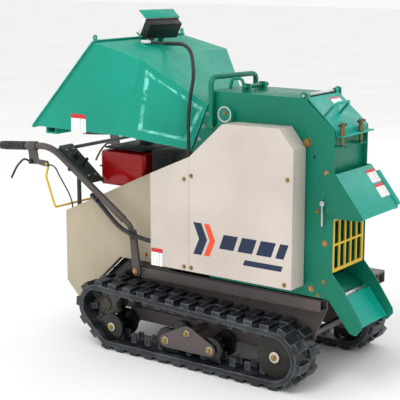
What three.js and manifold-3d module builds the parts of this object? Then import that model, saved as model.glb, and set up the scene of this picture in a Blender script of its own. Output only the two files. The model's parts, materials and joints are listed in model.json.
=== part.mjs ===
// A walk-behind wood chipper on rubber tracks: tracked chassis, petrol engine under a sheet-metal feed hopper,
// a rotor housing with a hinged lid, a discharge hood and a chute.
// Millimetres. +X is the discharge end, +Y the machine's left side and +Z up. Names ending in _right are at -Y.
import * as THREE from "three";
import { mergeVertices } from "three/addons/utils/BufferGeometryUtils.js";
import Module from "manifold-3d";

// ---- Driving dimensions ----------------------------------------------------------------------------------

const GAP = 0.3; // left between pieces that touch
const RUN = 0.6; // radial clearance of a faceted shaft in its bore
const SIDES = { wheel: 22, shaft: 12, rod: 8, thin: 8 };

const TRACK = {
  middleY: 275,
  width: 150,
  belt: 20,
  lugHeight: 18,
  lugLength: 36,
  lugWidth: 66,
  lugRowOffset: 37,
  pitch: 72,
  hornHeight: 30,
  hornLength: 22,
  hornWidth: 8,
  hornRowOffset: 22,
  arcStep: 0.28,
};
const IDLER = { x: 460, z: 120, r: 82, hubR: 30, discIn: 30, discOut: 44, axleR: 10 };
const SPROCKET = { x: -362, z: 168, r: 70, rootR: 52, teeth: 7, half: 10, hubR: 30, hubIn: -58, shaftR: 13 };
const ROLLER = { r: 55, hubR: 16, discIn: 40, discOut: 52, axleR: 8 };
const REAR_ROLLER = { x: -300, z: 93 };
const BOGIE = {
  x: 78,
  z: 140,
  reach: 103,
  drop: 47,
  rollerR: 49,
  plateIn: 59,
  plateOut: 65,
  endR: 25,
  pivotR: 28,
  tubeR: 14,
};
const BEAM = { y0: 196, y1: 209.5, z0: 100, z1: 150 };
const RAIL = { y0: 198.5, y1: 250, z0: 295, z1: 335, x0: -245, x1: 600, wall: 3 };
const SIDE_PLATE = { y0: 193, y1: 199.5, x0: -245 };
const NOTCH = { count: 9, x0: -110, width: 24, height: 20, topZ: 288 };

const DECK = { x0: -640, x1: 600, stepX: -247, halfY: 248, rearHalfY: 159.5, z0: 335.4, z1: 341.4 };
const CROSS = { xs: [-200, 60, 400], half: 25, z0: 286, halfY: 192.5 };
const FRONT_TUBE = { x: 530, z: 184, r: 15, gussetY: 186 };
const GEARBOX = { x0: -430, x1: -310, halfY: 130, z0: 110, z1: 292, sleeveR: 32, flangeR: 45, flangeY: 195 };

const HOUSING = { y0: -250, y1: -5, plate: 6, topZ: 1052, backX: 120, frontX: 642, bottomZ: 347 };
const THROAT = { topX: 118, topZ: 1003, bottomX: 40, bottomZ: 820 };
const LID = { x: 517, z: 1060, rodR: 6, knuckleR: 9.5, slope: 0.731, length: 170, step: 16, plate: 5, y0: -241, y1: -14 };
const LIP = { length: 28, screwX: 141, screwYs: [-225, -90], holeR: 9.2 };
const SCREW = { barrelR: 8.5, barrel: 44, stemR: 6, stem: 44, barR: 3.5, barHalf: 25 };
const FORK = { drop: 44, thickness: 6, slot: 15, width: 34, reach: 44 };
const FRONT_PLATE = { x0: 620, x1: 626, z0: 652, z1: 920 };
const HOOD = { x: 653, z: 799, length: 184, slope: 0.909, plate: 4, y0: -256.5, y1: 8, cheek: 6 };
const LOCK_PIN = { x: -45, z: -106, r: 6, hole: 6.6, handleR: 4, handle: 80, out: 14 };
const GRILLE = { x0: 633, x1: 640, z0: 443, z1: 640, frame: 12, bar: 7, bars: 4 };
const CHUTE = { x: 652, z: 349, knuckleR: 8, length: 132, slope: 0.9, plate: 4, lip: 10, y0: -243, y1: -12 };

const ROTOR = { x: 380, z: 640, drumR: 108, tipR: 160, hammers: 4, rows: 3, shaftR: 20 };
const FEED = { x: 206, z: 955, r: 56, toothR: 63, teeth: 8, shaftR: 12 };
const FEED_COVER = { x: 206, z: 975, r: 30, bottomZ: 925, depth: 30 };
const PULLEY_Y = { y0: -300, y1: -262, flange: 4 };
const ROTOR_PULLEY_R = 95;
const ENGINE_PULLEY = { x: 0, z: 470, r: 60, shaftR: 14 };
const DRIVE_BELT = { thickness: 8 };
const FUEL_CAP = { x: -390, y: 20, z: 766 };

const HOPPER = {
  middleY: -127.5,
  wall: 4,
  lip: 10,
  throat: { topX: 112, topZ: 999, bottomX: 34, bottomZ: 823, halfY: 120 },
  fold: { topX: -83, topZ: 1172, bottomX: -160, bottomZ: 879, halfY: 280 },
  mouth: { topX: -300, topZ: 1220, bottomX: -617, bottomZ: 882, halfY: 280 },
};
const DISPLAY = { x: -190, y: -202, z: 1278.6, yaw: 0.303, tilt: 0.579, width: 149, height: 67, depth: 35 };
const DISPLAY_FACE = { depth: 22, over: 4, under: 8, side: 2 };
const BRACKET = { plate: 3, visor: 30, legs: 60, legWidth: 26 };

const COVER = {
  y0: -340,
  y1: -255,
  skin: 3,
  rearX: -90,
  seamX: 90,
  seamGap: 1,
  bottomZ: 385,
  rearTopZ: 737,
  seamTopZ: 816,
};
const HANDLE = {
  y: 262,
  r: 14,
  gripX: -945,
  gripZ: 755,
  bendX: -664,
  bendZ: 776.5,
  endX: -250,
  endZ: 497,
  bend: 60,
  collarX: -284,
  neckR: 11,
};
const ARM = { topX: -246, bottomX: -225, bottomZ: 300, half: 19, y0: 250.6, y1: 262 };
const GRIP = { length: 142, r: 18.5, ribs: 7 };
const LEVER = { u: 168, w: -65, bossR: 10, pinR: 4, thickness: 9, y: 4 };
const BAIL = { u: 250, w: -74, r: 5, legY: 249, kneeX: -709, kneeZ: 646, barX: -661, barZ: 520 };
const PANEL = { x0: -636, z0: 778, x1: -468, z1: 646, y0: -245, y1: -164, plate: 5 };
const CROSS_BAR = { x: -642, z: 759, r: 7.5 };
const POST = { x: -590, y: -178, r: 9 };
const BAR = { x: 138, z: 934, r: 10, topZ: 1104, nearY: -266.5, farY: 11.5 };
const TENSION = { x: 250, z: 1070, r: 8, y0: -226, y1: -66, earYs: [-200, -98], earHalf: 5 };
const CONDUIT_R = 7;
const CABLE_R = 3;
const LOOM = { r: 9, z: 455 };

const COLOUR = {
  housingGreen: 0x00876e,
  lidGreen: 0x20b8a8,
  hopperGreen: 0x28b09c,
  cream: 0xd8d0c8,
  taupe: 0x6a6062,
  black: 0x1b1c1e,
  rubber: 0x2a3038,
  yellow: 0xf0d050,
  zinc: 0xb09040,
  steel: 0xb9babd,
  red: 0xb01c20,
  castGrey: 0x77706c,
};

// ---- Solids ----------------------------------------------------------------------------------------------

const wasm = await Module();
wasm.setup();

function toSolid(geometry) {
  const bare = geometry.clone();
  bare.deleteAttribute("normal");
  bare.deleteAttribute("uv");
  const merged = bare.index && !geometry.attributes.normal ? bare : mergeVertices(bare, 1e-4);
  return new wasm.Manifold(
    new wasm.Mesh({
      numProp: 3,
      vertProperties: new Float32Array(merged.attributes.position.array),
      triVerts: new Uint32Array(merged.index.array),
    }),
  );
}

function toGeometry(solid) {
  const mesh = solid.getMesh();
  const geometry = new THREE.BufferGeometry();
  geometry.setAttribute("position", new THREE.BufferAttribute(new Float32Array(mesh.vertProperties), 3));
  geometry.setIndex(new THREE.BufferAttribute(new Uint32Array(mesh.triVerts), 1));
  return geometry;
}

function join(...geometries) {
  return toGeometry(geometries.map(toSolid).reduce((sum, next) => sum.add(next)));
}

function cut(geometry, ...tools) {
  return toGeometry(tools.map(toSolid).reduce((rest, tool) => rest.subtract(tool), toSolid(geometry)));
}

function common(geometry, tool) {
  return toGeometry(toSolid(geometry).intersect(toSolid(tool)));
}

function block(x0, x1, y0, y1, z0, z1) {
  const geometry = new THREE.BoxGeometry(x1 - x0, y1 - y0, z1 - z0);
  return geometry.translate((x0 + x1) / 2, (y0 + y1) / 2, (z0 + z1) / 2);
}

function shapeOf(outline) {
  return new THREE.Shape(outline.map(([x, y]) => new THREE.Vector2(x, y)));
}

// A flat sheet standing on the XY plane, with holes that are cut through it.
function sheet(outline, thickness, holes) {
  const slab = new THREE.ExtrudeGeometry(shapeOf(outline), { depth: thickness, bevelEnabled: false });
  const tools = holes.map((hole) => {
    const plug = new THREE.ExtrudeGeometry(shapeOf(hole), { depth: thickness + 2, bevelEnabled: false });
    return plug.translate(0, 0, -1);
  });
  return tools.length ? cut(slab, ...tools) : slab;
}

// A flat plate whose outline lies in X and Z, from y0 to y1.
function plateXZ(outline, y0, y1, holes = []) {
  return sheet(outline, y1 - y0, holes).rotateX(Math.PI / 2).translate(0, y1, 0);
}

// A flat plate whose outline lies in Y and Z, from x0 to x1.
function plateYZ(outline, x0, x1, holes = []) {
  const turn = new THREE.Matrix4().makeBasis(
    new THREE.Vector3(0, 1, 0),
    new THREE.Vector3(0, 0, 1),
    new THREE.Vector3(1, 0, 0),
  );
  return sheet(outline, x1 - x0, holes).applyMatrix4(turn).translate(x0, 0, 0);
}

function plateXY(outline, z0, z1, holes = []) {
  return sheet(outline, z1 - z0, holes).translate(0, 0, z0);
}

function rodY(r, y0, y1, x = 0, z = 0, sides = SIDES.shaft) {
  return new THREE.CylinderGeometry(r, r, y1 - y0, sides).translate(x, (y0 + y1) / 2, z);
}

function rodZ(r, z0, z1, x = 0, y = 0, sides = SIDES.shaft) {
  return new THREE.CylinderGeometry(r, r, z1 - z0, sides).rotateX(Math.PI / 2).translate(x, y, (z0 + z1) / 2);
}

function rodX(r, x0, x1, y = 0, z = 0, sides = SIDES.shaft) {
  return new THREE.CylinderGeometry(r, r, x1 - x0, sides).rotateZ(Math.PI / 2).translate((x0 + x1) / 2, y, z);
}

function circle(x, z, r, sides = SIDES.shaft) {
  return Array.from({ length: sides }, (_, i) => {
    const a = (2 * Math.PI * i) / sides;
    return [x + r * Math.cos(a), z + r * Math.sin(a)];
  });
}

// The outline of a band stretched round circles [x, z, r], taken anticlockwise.
function wrap(circles, step = TRACK.arcStep) {
  const leave = circles.map(([x, z, r], i) => {
    const [nx, nz, nr] = circles[(i + 1) % circles.length];
    return Math.atan2(nz - z, nx - x) - Math.acos((r - nr) / Math.hypot(nx - x, nz - z));
  });
  return circles.flatMap(([x, z, r], i) => {
    const from = leave[(i + circles.length - 1) % circles.length];
    const turn = (((leave[i] - from) % (2 * Math.PI)) + 2 * Math.PI) % (2 * Math.PI);
    const count = Math.max(1, Math.round(turn / step));
    return Array.from({ length: count + 1 }, (_, k) => {
      const a = from + (turn * k) / count;
      return [x + r * Math.cos(a), z + r * Math.sin(a)];
    });
  });
}

function lengthsOf(outline) {
  return outline.map(([x, z], i) => {
    const [nx, nz] = outline[(i + 1) % outline.length];
    return Math.hypot(nx - x, nz - z);
  });
}

// Evenly spaced places on a closed outline, each with the direction of travel there.
function placesAlong(outline, count, start = 0) {
  const lengths = lengthsOf(outline);
  const total = lengths.reduce((sum, next) => sum + next, 0);
  return Array.from({ length: count }, (_, k) => {
    let left = (total * (k + start)) / count;
    let i = 0;
    while (left > lengths[i]) {
      left -= lengths[i];
      i += 1;
    }
    const [x, z] = outline[i];
    const [nx, nz] = outline[(i + 1) % outline.length];
    const t = left / lengths[i];
    return { x: x + (nx - x) * t, z: z + (nz - z) * t, angle: Math.atan2(nz - z, nx - x) };
  });
}

// A path that is stepped from point to point, so that straight stretches take one step.
class StepPath extends THREE.Curve {
  constructor(points) {
    super();
    this.points = points;
  }

  getPoint(t, target = new THREE.Vector3()) {
    const at = Math.min(Math.max(t, 0), 1) * (this.points.length - 1);
    const i = Math.min(Math.floor(at), this.points.length - 2);
    return target.lerpVectors(this.points[i], this.points[i + 1], at - i);
  }

  getPointAt(u, target) {
    return this.getPoint(u, target);
  }

  getTangentAt(u, target = new THREE.Vector3()) {
    const i = Math.round(u * (this.points.length - 1));
    const before = this.points[Math.max(i - 1, 0)];
    const after = this.points[Math.min(i + 1, this.points.length - 1)];
    return target.subVectors(after, before).normalize();
  }
}

// The points of a bent rod: each corner becomes an arc that starts `bend` before it.
function bentPoints(corners, bend, steps) {
  const points = corners.map(([x, y, z]) => new THREE.Vector3(x, y, z));
  const path = [points[0]];
  for (let i = 1; i < points.length - 1; i += 1) {
    const back = points[i - 1].clone().sub(points[i]);
    const on = points[i + 1].clone().sub(points[i]);
    const reach = Math.min(bend, back.length() * 0.48, on.length() * 0.48);
    const curve = new THREE.QuadraticBezierCurve3(
      points[i].clone().addScaledVector(back.normalize(), reach),
      points[i],
      points[i].clone().addScaledVector(on.normalize(), reach),
    );
    path.push(...curve.getPoints(steps));
  }
  path.push(points[points.length - 1]);
  return path;
}

function tube(points, r, sides) {
  const path = new StepPath(points);
  const section = shapeOf(circle(0, 0, r, sides));
  return new THREE.ExtrudeGeometry(section, { steps: points.length - 1, extrudePath: path });
}

function bentRod(corners, r, bend, sides = SIDES.rod, steps = 4) {
  return tube(bentPoints(corners, bend, steps), r, sides);
}

// A smooth cord through hand-placed points.
function cord(corners, r, steps, sides = SIDES.thin) {
  const curve = new THREE.CatmullRomCurve3(corners.map(([x, y, z]) => new THREE.Vector3(x, y, z)));
  return tube(curve.getSpacedPoints(steps), r, sides);
}

function finish(colour, roughness, metalness) {
  return new THREE.MeshStandardMaterial({ color: colour, roughness, metalness });
}

const PAINT = [0.42, 0.1];
const METAL = [0.38, 0.85];
const PLASTIC = [0.6, 0];
const RUBBER = [0.85, 0];

function piece(name, geometry, colour, [roughness, metalness] = PAINT) {
  const faceted = geometry.index ? geometry.toNonIndexed() : geometry;
  faceted.computeVertexNormals();
  const mesh = new THREE.Mesh(faceted, finish(colour, roughness, metalness));
  mesh.name = name;
  return mesh;
}

function at(object, x, y, z) {
  object.position.set(x, y, z);
  return object;
}

// Both sides of the machine: [name of the side, sign of its Y].
const BOTH_SIDES = [
  ["right", -1],
  ["left", 1],
];

// y0 and y1 as distances from the middle plane, on the side given by sign.
function sideSpan(sign, y0, y1) {
  return sign > 0 ? [y0, y1] : [-y1, -y0];
}

// ---- Tracks and running gear -----------------------------------------------------------------------------

function beltOutline(offset) {
  return wrap([
    [IDLER.x, IDLER.z, IDLER.r + offset],
    [SPROCKET.x, SPROCKET.z, SPROCKET.r + offset],
    [REAR_ROLLER.x, REAR_ROLLER.z, ROLLER.r + offset],
  ]);
}

function blockOnBelt(place, height, inward, length, y, width) {
  const sunk = 2;
  const tall = height + sunk;
  const geometry = new THREE.BoxGeometry(length, width, tall);
  const lift = (inward ? -1 : 1) * (tall / 2 - sunk);
  geometry.translate(0, y, -lift);
  return geometry.rotateY(-place.angle).translate(place.x, 0, place.z);
}

function trackGeometry() {
  const half = TRACK.width / 2;
  const outer = beltOutline(TRACK.belt);
  const inner = beltOutline(0);
  const count = Math.round(lengthsOf(outer).reduce((sum, next) => sum + next, 0) / TRACK.pitch);
  const lugs = [-1, 1].flatMap((row) =>
    placesAlong(outer, count, row > 0 ? 0.5 : 0).map((place) =>
      blockOnBelt(place, TRACK.lugHeight, false, TRACK.lugLength, row * TRACK.lugRowOffset, TRACK.lugWidth),
    ),
  );
  const horns = [-1, 1].flatMap((row) =>
    placesAlong(inner, count).map((place) =>
      blockOnBelt(place, TRACK.hornHeight, true, TRACK.hornLength, row * TRACK.hornRowOffset, TRACK.hornWidth),
    ),
  );
  const ground = block(-1000, 1000, -half, half, 0, 1000);
  return common(join(plateXZ(outer, -half, half, [inner]), ...lugs, ...horns), ground);
}

function spool(r, discIn, discOut, hubR, boreR) {
  const round = join(
    rodY(r, -discOut, -discIn, 0, 0, SIDES.wheel),
    rodY(r, discIn, discOut, 0, 0, SIDES.wheel),
    rodY(hubR, -discOut - 1, discOut + 1),
  );
  return cut(round, rodY(boreR, -discOut - 5, discOut + 5));
}

function sprocketGeometry(sign) {
  const tipR = SPROCKET.r - 1.3;
  const outline = Array.from({ length: SPROCKET.teeth }, (_, i) => i).flatMap((i) =>
    [
      [0.0, SPROCKET.rootR],
      [0.28, SPROCKET.rootR],
      [0.42, tipR],
      [0.72, tipR],
      [0.86, SPROCKET.rootR],
    ].map(([share, r]) => {
      const a = (2 * Math.PI * (i + share)) / SPROCKET.teeth;
      return [r * Math.cos(a), r * Math.sin(a)];
    }),
  );
  const [y0, y1] = sideSpan(sign, SPROCKET.hubIn, 0);
  const wheel = join(plateXZ(outline, -SPROCKET.half, SPROCKET.half), rodY(SPROCKET.hubR, y0, y1));
  return cut(wheel, rodY(SPROCKET.shaftR + RUN, -TRACK.width, TRACK.width));
}

function bogieGeometry(sign) {
  const ends = [-1, 1].map((way) => [way * BOGIE.reach, -BOGIE.drop]);
  const outline = wrap([
    [BOGIE.reach, -BOGIE.drop, BOGIE.endR],
    [0, 0, BOGIE.pivotR],
    [-BOGIE.reach, -BOGIE.drop, BOGIE.endR],
  ]);
  const span = sideSpan(sign, BOGIE.plateIn, BOGIE.plateOut);
  const plates = [plateXZ(outline, span[0], span[1]), plateXZ(outline, -span[1], -span[0])];
  const axles = ends.map(([x, z]) => rodY(ROLLER.axleR, -BOGIE.plateOut, BOGIE.plateOut, x, z));
  const nutSpan = sideSpan(sign, BOGIE.plateOut - 1, BOGIE.plateOut + 7);
  const nuts = ends.map(([x, z]) => rodY(11, nutSpan[0], nutSpan[1], x, z, 6));
  const arm = join(...plates, ...axles, ...nuts, rodY(BOGIE.tubeR, -BOGIE.plateOut, BOGIE.plateOut));
  return cut(arm, rodY(ROLLER.axleR + RUN, -BOGIE.plateOut - 9, BOGIE.plateOut + 9));
}

function axleWithNut(sign, x, z, r, outY, washerR) {
  const [a0, a1] = sideSpan(sign, BEAM.y1 - 2, outY);
  const [w0, w1] = sideSpan(sign, outY - 3, outY);
  const [n0, n1] = sideSpan(sign, outY - 1, outY + 7);
  return join(rodY(r, a0, a1, x, z), rodY(washerR, w0, w1, x, z), rodY(10, n0, n1, x, z, 6));
}

function trackFrameGeometry(sign) {
  const beamOutline = [
    [-325, 70],
    [-275, 70],
    [-255, BEAM.z0],
    [400, BEAM.z0],
    [430, 92],
    [492, 92],
    [492, BEAM.z1],
    [-290, BEAM.z1],
    [-325, 112],
  ];
  const plateOutline = [
    [SIDE_PLATE.x0, 140],
    [440, 140],
    [545, 162],
    [562, 205],
    [RAIL.x1, RAIL.z0],
    [RAIL.x1, RAIL.z1],
    [SIDE_PLATE.x0, RAIL.z1],
  ];
  const notches = Array.from({ length: NOTCH.count }, (_, i) => {
    const x = NOTCH.x0 + i * TRACK.pitch;
    return [
      [x, NOTCH.topZ],
      [x + NOTCH.width, NOTCH.topZ],
      [x + NOTCH.width / 2, NOTCH.topZ - NOTCH.height],
    ];
  });
  const beam = plateXZ(beamOutline, ...sideSpan(sign, BEAM.y0, BEAM.y1));
  const plate = plateXZ(plateOutline, ...sideSpan(sign, SIDE_PLATE.y0, SIDE_PLATE.y1), notches);
  const [r0, r1] = sideSpan(sign, RAIL.y0, RAIL.y1);
  const rail = block(RAIL.x0, RAIL.x1, r0, r1, RAIL.z0, RAIL.z1);
  const bore = block(
    RAIL.x0 - 1,
    RAIL.x1 + 1,
    r0 + RAIL.wall,
    r1 - RAIL.wall,
    RAIL.z0 + RAIL.wall,
    RAIL.z1 - RAIL.wall,
  );
  const discFace = TRACK.middleY + IDLER.discOut;
  return join(
    beam,
    plate,
    cut(rail, bore),
    axleWithNut(sign, IDLER.x, IDLER.z, IDLER.axleR, discFace + 10, 20),
    axleWithNut(sign, REAR_ROLLER.x, REAR_ROLLER.z, ROLLER.axleR, TRACK.middleY + ROLLER.discOut + 5, 16),
    axleWithNut(sign, BOGIE.x, BOGIE.z, ROLLER.axleR, TRACK.middleY + BOGIE.plateOut + 3.4, 12),
  );
}

function runningGear() {
  const group = new THREE.Group();
  for (const [side, sign] of BOTH_SIDES) {
    const y = sign * TRACK.middleY;
    group.add(at(piece(`track_${side}`, trackGeometry(), COLOUR.rubber, RUBBER), 0, y, 0));
    group.add(piece(`track_frame_${side}`, trackFrameGeometry(sign), COLOUR.taupe));
    const sprocket = piece(`sprocket_${side}`, sprocketGeometry(sign), COLOUR.castGrey, METAL);
    group.add(at(sprocket, SPROCKET.x, y, SPROCKET.z));
    const idlerShape = spool(IDLER.r - 1.3, IDLER.discIn, IDLER.discOut, IDLER.hubR, IDLER.axleR + RUN);
    group.add(at(piece(`idler_${side}`, idlerShape, 0x3a3830), IDLER.x, y, IDLER.z));
    const rearShape = spool(ROLLER.r - 1.3, ROLLER.discIn, ROLLER.discOut, ROLLER.hubR, ROLLER.axleR + RUN);
    group.add(at(piece(`rear_roller_${side}`, rearShape, COLOUR.black), REAR_ROLLER.x, y, REAR_ROLLER.z));
    const bogie = at(new THREE.Group(), BOGIE.x, y, BOGIE.z);
    bogie.add(piece(`bogie_${side}`, bogieGeometry(sign), COLOUR.taupe));
    for (const [end, way] of [
      ["rear", -1],
      ["front", 1],
    ]) {
      const shape = spool(BOGIE.rollerR, ROLLER.discIn, ROLLER.discOut, ROLLER.hubR, ROLLER.axleR + RUN);
      const roller = piece(`bogie_roller_${end}_${side}`, shape, COLOUR.black);
      bogie.add(at(roller, way * BOGIE.reach, 0, -BOGIE.drop));
    }
    group.add(bogie);
  }
  return group;
}

// ---- Chassis, gearbox and engine -------------------------------------------------------------------------

function chassisGeometry() {
  const deckOutline = [
    [DECK.x1, -DECK.halfY],
    [DECK.x1, DECK.halfY],
    [DECK.stepX, DECK.halfY],
    [DECK.stepX, DECK.rearHalfY],
    [DECK.x0, DECK.rearHalfY],
    [DECK.x0, -DECK.rearHalfY],
    [DECK.stepX, -DECK.rearHalfY],
    [DECK.stepX, -DECK.halfY],
  ];
  const deck = plateXY(deckOutline, DECK.z0, DECK.z1);
  const beams = CROSS.xs.map((x) =>
    block(x - CROSS.half, x + CROSS.half, -CROSS.halfY, CROSS.halfY, CROSS.z0, DECK.z0 + 1),
  );
  const gussetOutline = [
    [FRONT_TUBE.x - 20, FRONT_TUBE.z - 18],
    [FRONT_TUBE.x + 20, FRONT_TUBE.z - 18],
    [DECK.x1 - 20, DECK.z0 + 1],
    [DECK.x1 - 110, DECK.z0 + 1],
  ];
  const gussets = BOTH_SIDES.map(([, sign]) =>
    plateXZ(gussetOutline, ...sideSpan(sign, FRONT_TUBE.gussetY, CROSS.halfY)),
  );
  const tubeAcross = rodY(FRONT_TUBE.r, -CROSS.halfY, CROSS.halfY, FRONT_TUBE.x, FRONT_TUBE.z);
  return join(deck, ...beams, ...gussets, tubeAcross);
}

function gearboxGeometry() {
  const outline = [
    [GEARBOX.x0, GEARBOX.z0 + 30],
    [GEARBOX.x0 + 30, GEARBOX.z0],
    [GEARBOX.x1 - 20, GEARBOX.z0],
    [GEARBOX.x1, GEARBOX.z0 + 40],
    [GEARBOX.x1, GEARBOX.z1 - 40],
    [GEARBOX.x1 - 30, GEARBOX.z1],
    [GEARBOX.x0 + 20, GEARBOX.z1],
    [GEARBOX.x0, GEARBOX.z1 - 30],
  ];
  const parts = [plateXZ(outline, -GEARBOX.halfY, GEARBOX.halfY)];
  parts.push(block(GEARBOX.x0 + 35, GEARBOX.x1 - 35, -60, 60, GEARBOX.z1 - 1, DECK.z0 - GAP));
  for (const [, sign] of BOTH_SIDES) {
    const { x, z } = SPROCKET;
    parts.push(rodY(GEARBOX.sleeveR, ...sideSpan(sign, GEARBOX.halfY - 1, GEARBOX.flangeY + 1), x, z));
    parts.push(rodY(GEARBOX.flangeR, ...sideSpan(sign, GEARBOX.flangeY, GEARBOX.flangeY + 10), x, z));
    parts.push(rodY(SPROCKET.shaftR, ...sideSpan(sign, GEARBOX.flangeY, TRACK.middleY + 18), x, z));
  }
  return join(...parts);
}

function engineBlockGeometry() {
  const crankcase = plateXZ(
    [
      [-290, DECK.z1 + GAP],
      [80, DECK.z1 + GAP],
      [80, 520],
      [30, 560],
      [-300, 560],
      [-330, 500],
    ],
    -150,
    140,
  );
  const barrel = block(-250, -135, -120, 60, 550, 690);
  const fins = Array.from({ length: 5 }, (_, i) => block(-264, -120, -135, 75, 575 + i * 22, 583 + i * 22));
  const muffler = block(-110, 0, -90, 90, 590, 700);
  const pipe = block(-140, -100, -20, 20, 610, 650);
  const tankShelf = block(-490, -240, -100, 70, 612, 620);
  const shelfPost = block(-320, -290, -60, 40, 550, 615);
  const shaft = rodY(ENGINE_PULLEY.shaftR, PULLEY_Y.y0 - 2, -149, ENGINE_PULLEY.x, ENGINE_PULLEY.z);
  const starter = rodY(98, 139, 172, ENGINE_PULLEY.x - 30, ENGINE_PULLEY.z - 20, SIDES.wheel);
  const starterBoss = rodY(40, 171, 182, ENGINE_PULLEY.x - 30, ENGINE_PULLEY.z - 20);
  const cleaner = block(-245, -135, -130, 20, 689, 778);
  const parts = [crankcase, barrel, ...fins, muffler, pipe, tankShelf, shelfPost, shaft];
  return join(...parts, starter, starterBoss, cleaner);
}

function fuelTankGeometry() {
  const shape = shapeOf([
    [-488, -150],
    [-282, -150],
    [-270, -138],
    [-270, 98],
    [-282, 110],
    [-488, 110],
    [-500, 98],
    [-500, -138],
  ]);
  const bevel = { bevelEnabled: true, bevelThickness: 14, bevelSize: 12, bevelOffset: -12, bevelSegments: 2 };
  const body = new THREE.ExtrudeGeometry(shape, { depth: 114, steps: 1, ...bevel }).translate(0, 0, 635);
  return join(body, rodZ(20, 758, FUEL_CAP.z - GAP, FUEL_CAP.x, FUEL_CAP.y));
}

function pulley(r, boreR) {
  const { y0, y1, flange } = PULLEY_Y;
  const parts = [
    rodY(r, y0, y1, 0, 0, SIDES.wheel),
    rodY(r + DRIVE_BELT.thickness, y0, y0 + flange, 0, 0, SIDES.wheel),
    rodY(r + DRIVE_BELT.thickness, y1 - flange, y1, 0, 0, SIDES.wheel),
  ];
  return boreR ? cut(join(...parts), rodY(boreR, y0 - 5, y1 + 5)) : join(...parts);
}

function driveBeltGeometry() {
  const around = (offset) =>
    wrap([
      [ROTOR.x, ROTOR.z, ROTOR_PULLEY_R + offset],
      [ENGINE_PULLEY.x, ENGINE_PULLEY.z, ENGINE_PULLEY.r + offset],
    ]);
  const y0 = PULLEY_Y.y0 + PULLEY_Y.flange + 1;
  const y1 = PULLEY_Y.y1 - PULLEY_Y.flange - 1;
  return plateXZ(around(DRIVE_BELT.thickness), y0, y1, [around(1.2)]);
}

function powerUnit() {
  const group = new THREE.Group();
  group.add(piece("chassis", chassisGeometry(), COLOUR.black));
  group.add(piece("gearbox", gearboxGeometry(), COLOUR.castGrey));
  group.add(piece("engine_block", engineBlockGeometry(), 0x3b3d3f, [0.6, 0.4]));
  group.add(piece("fuel_tank", fuelTankGeometry(), COLOUR.red, [0.3, 0.1]));
  const cap = join(rodZ(30, 0, 22), block(-26, 26, -6, 6, 21, 30));
  group.add(at(piece("fuel_cap", cap, COLOUR.black, PLASTIC), FUEL_CAP.x, FUEL_CAP.y, FUEL_CAP.z));
  const enginePulley = pulley(ENGINE_PULLEY.r, ENGINE_PULLEY.shaftR + RUN);
  group.add(at(piece("engine_pulley", enginePulley, COLOUR.castGrey, METAL), ENGINE_PULLEY.x, 0, ENGINE_PULLEY.z));
  group.add(piece("drive_belt", driveBeltGeometry(), COLOUR.black, RUBBER));
  return group;
}

// ---- Rotor housing ---------------------------------------------------------------------------------------

// The side plates reach forward at the foot, as the walls of the chute.
function sideOutline() {
  const { topZ, backX, frontX, bottomZ } = HOUSING;
  return [
    [backX, bottomZ],
    [frontX - 12, bottomZ],
    [719, 238],
    [743, 234],
    [766, 262],
    [763, 281],
    [689, 390],
    [frontX, 443],
    [frontX, 945],
    [LID.x + 14, 1040],
    [LID.x + 12, LID.z + 8],
    [LID.x + 6, LID.z + 12],
    [LID.x - 6, LID.z + 12],
    [LID.x - 12, LID.z + 8],
    [LID.x - 14, topZ],
    [THROAT.topX, topZ],
    [THROAT.topX, THROAT.topZ],
    [THROAT.bottomX, THROAT.bottomZ],
    [THROAT.bottomX + 4, THROAT.bottomZ - 14],
    [backX, 760],
  ];
}

function sidePlate(y0, y1) {
  return plateXZ(sideOutline(), y0, y1, [
    circle(LID.x, LID.z, LID.rodR + RUN),
    circle(ROTOR.x, ROTOR.z, ROTOR.shaftR + 2),
    circle(FEED.x, FEED.z, FEED.shaftR + 2),
  ]);
}

function bearing(y0, y1) {
  return cut(
    rodY(48, y0, y1, ROTOR.x, ROTOR.z, SIDES.wheel),
    rodY(ROTOR.shaftR + 2 * RUN, y0 - 30, y1 + 30, ROTOR.x, ROTOR.z),
  );
}

// A short arch-topped cover over the feed roller's motor, open at its lower end.
function feedCover() {
  const { x, z, r, bottomZ, depth } = FEED_COVER;
  const arch = (radius, low) => {
    const top = Array.from({ length: 11 }, (_, i) => {
      const a = (Math.PI * i) / 10;
      return [x + radius * Math.cos(a), z + radius * Math.sin(a)];
    });
    return [[x + radius, low], ...top, [x - radius, low]];
  };
  const y1 = HOUSING.y0 + 1;
  const y0 = HOUSING.y0 - depth;
  return cut(plateXZ(arch(r, bottomZ), y0, y1), plateXZ(arch(r - 4, bottomZ - 5), y0 + 4, y1 + 1));
}

function rightSideGeometry() {
  const { y0, plate } = HOUSING;
  return join(sidePlate(y0, y0 + plate), feedCover(), bearing(y0 - 9, y0 + 1));
}

function leftSideGeometry() {
  const { y1, plate } = HOUSING;
  return join(sidePlate(y1 - plate, y1), bearing(y1 - 1, y1 + 14));
}

function housingInside() {
  return [HOUSING.y0 + HOUSING.plate + GAP, HOUSING.y1 - HOUSING.plate - GAP];
}

function topPlateGeometry() {
  const [y0, y1] = housingInside();
  const { topZ, plate } = HOUSING;
  const top = block(THROAT.topX, LID.x - 16, y0, y1, topZ - plate, topZ);
  const flange = block(THROAT.topX, THROAT.topX + plate, y0, y1, THROAT.topZ + 3, topZ - 1);
  const earOutline = [
    [TENSION.x - 22, topZ - 1],
    [TENSION.x + 22, topZ - 1],
    [TENSION.x + 12, TENSION.z + 12],
    [TENSION.x - 12, TENSION.z + 12],
  ];
  const ears = TENSION.earYs.map((y) =>
    plateXZ(earOutline, y - TENSION.earHalf, y + TENSION.earHalf, [
      circle(TENSION.x, TENSION.z, TENSION.r + RUN),
    ]),
  );
  return join(top, flange, ...ears);
}

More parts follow.
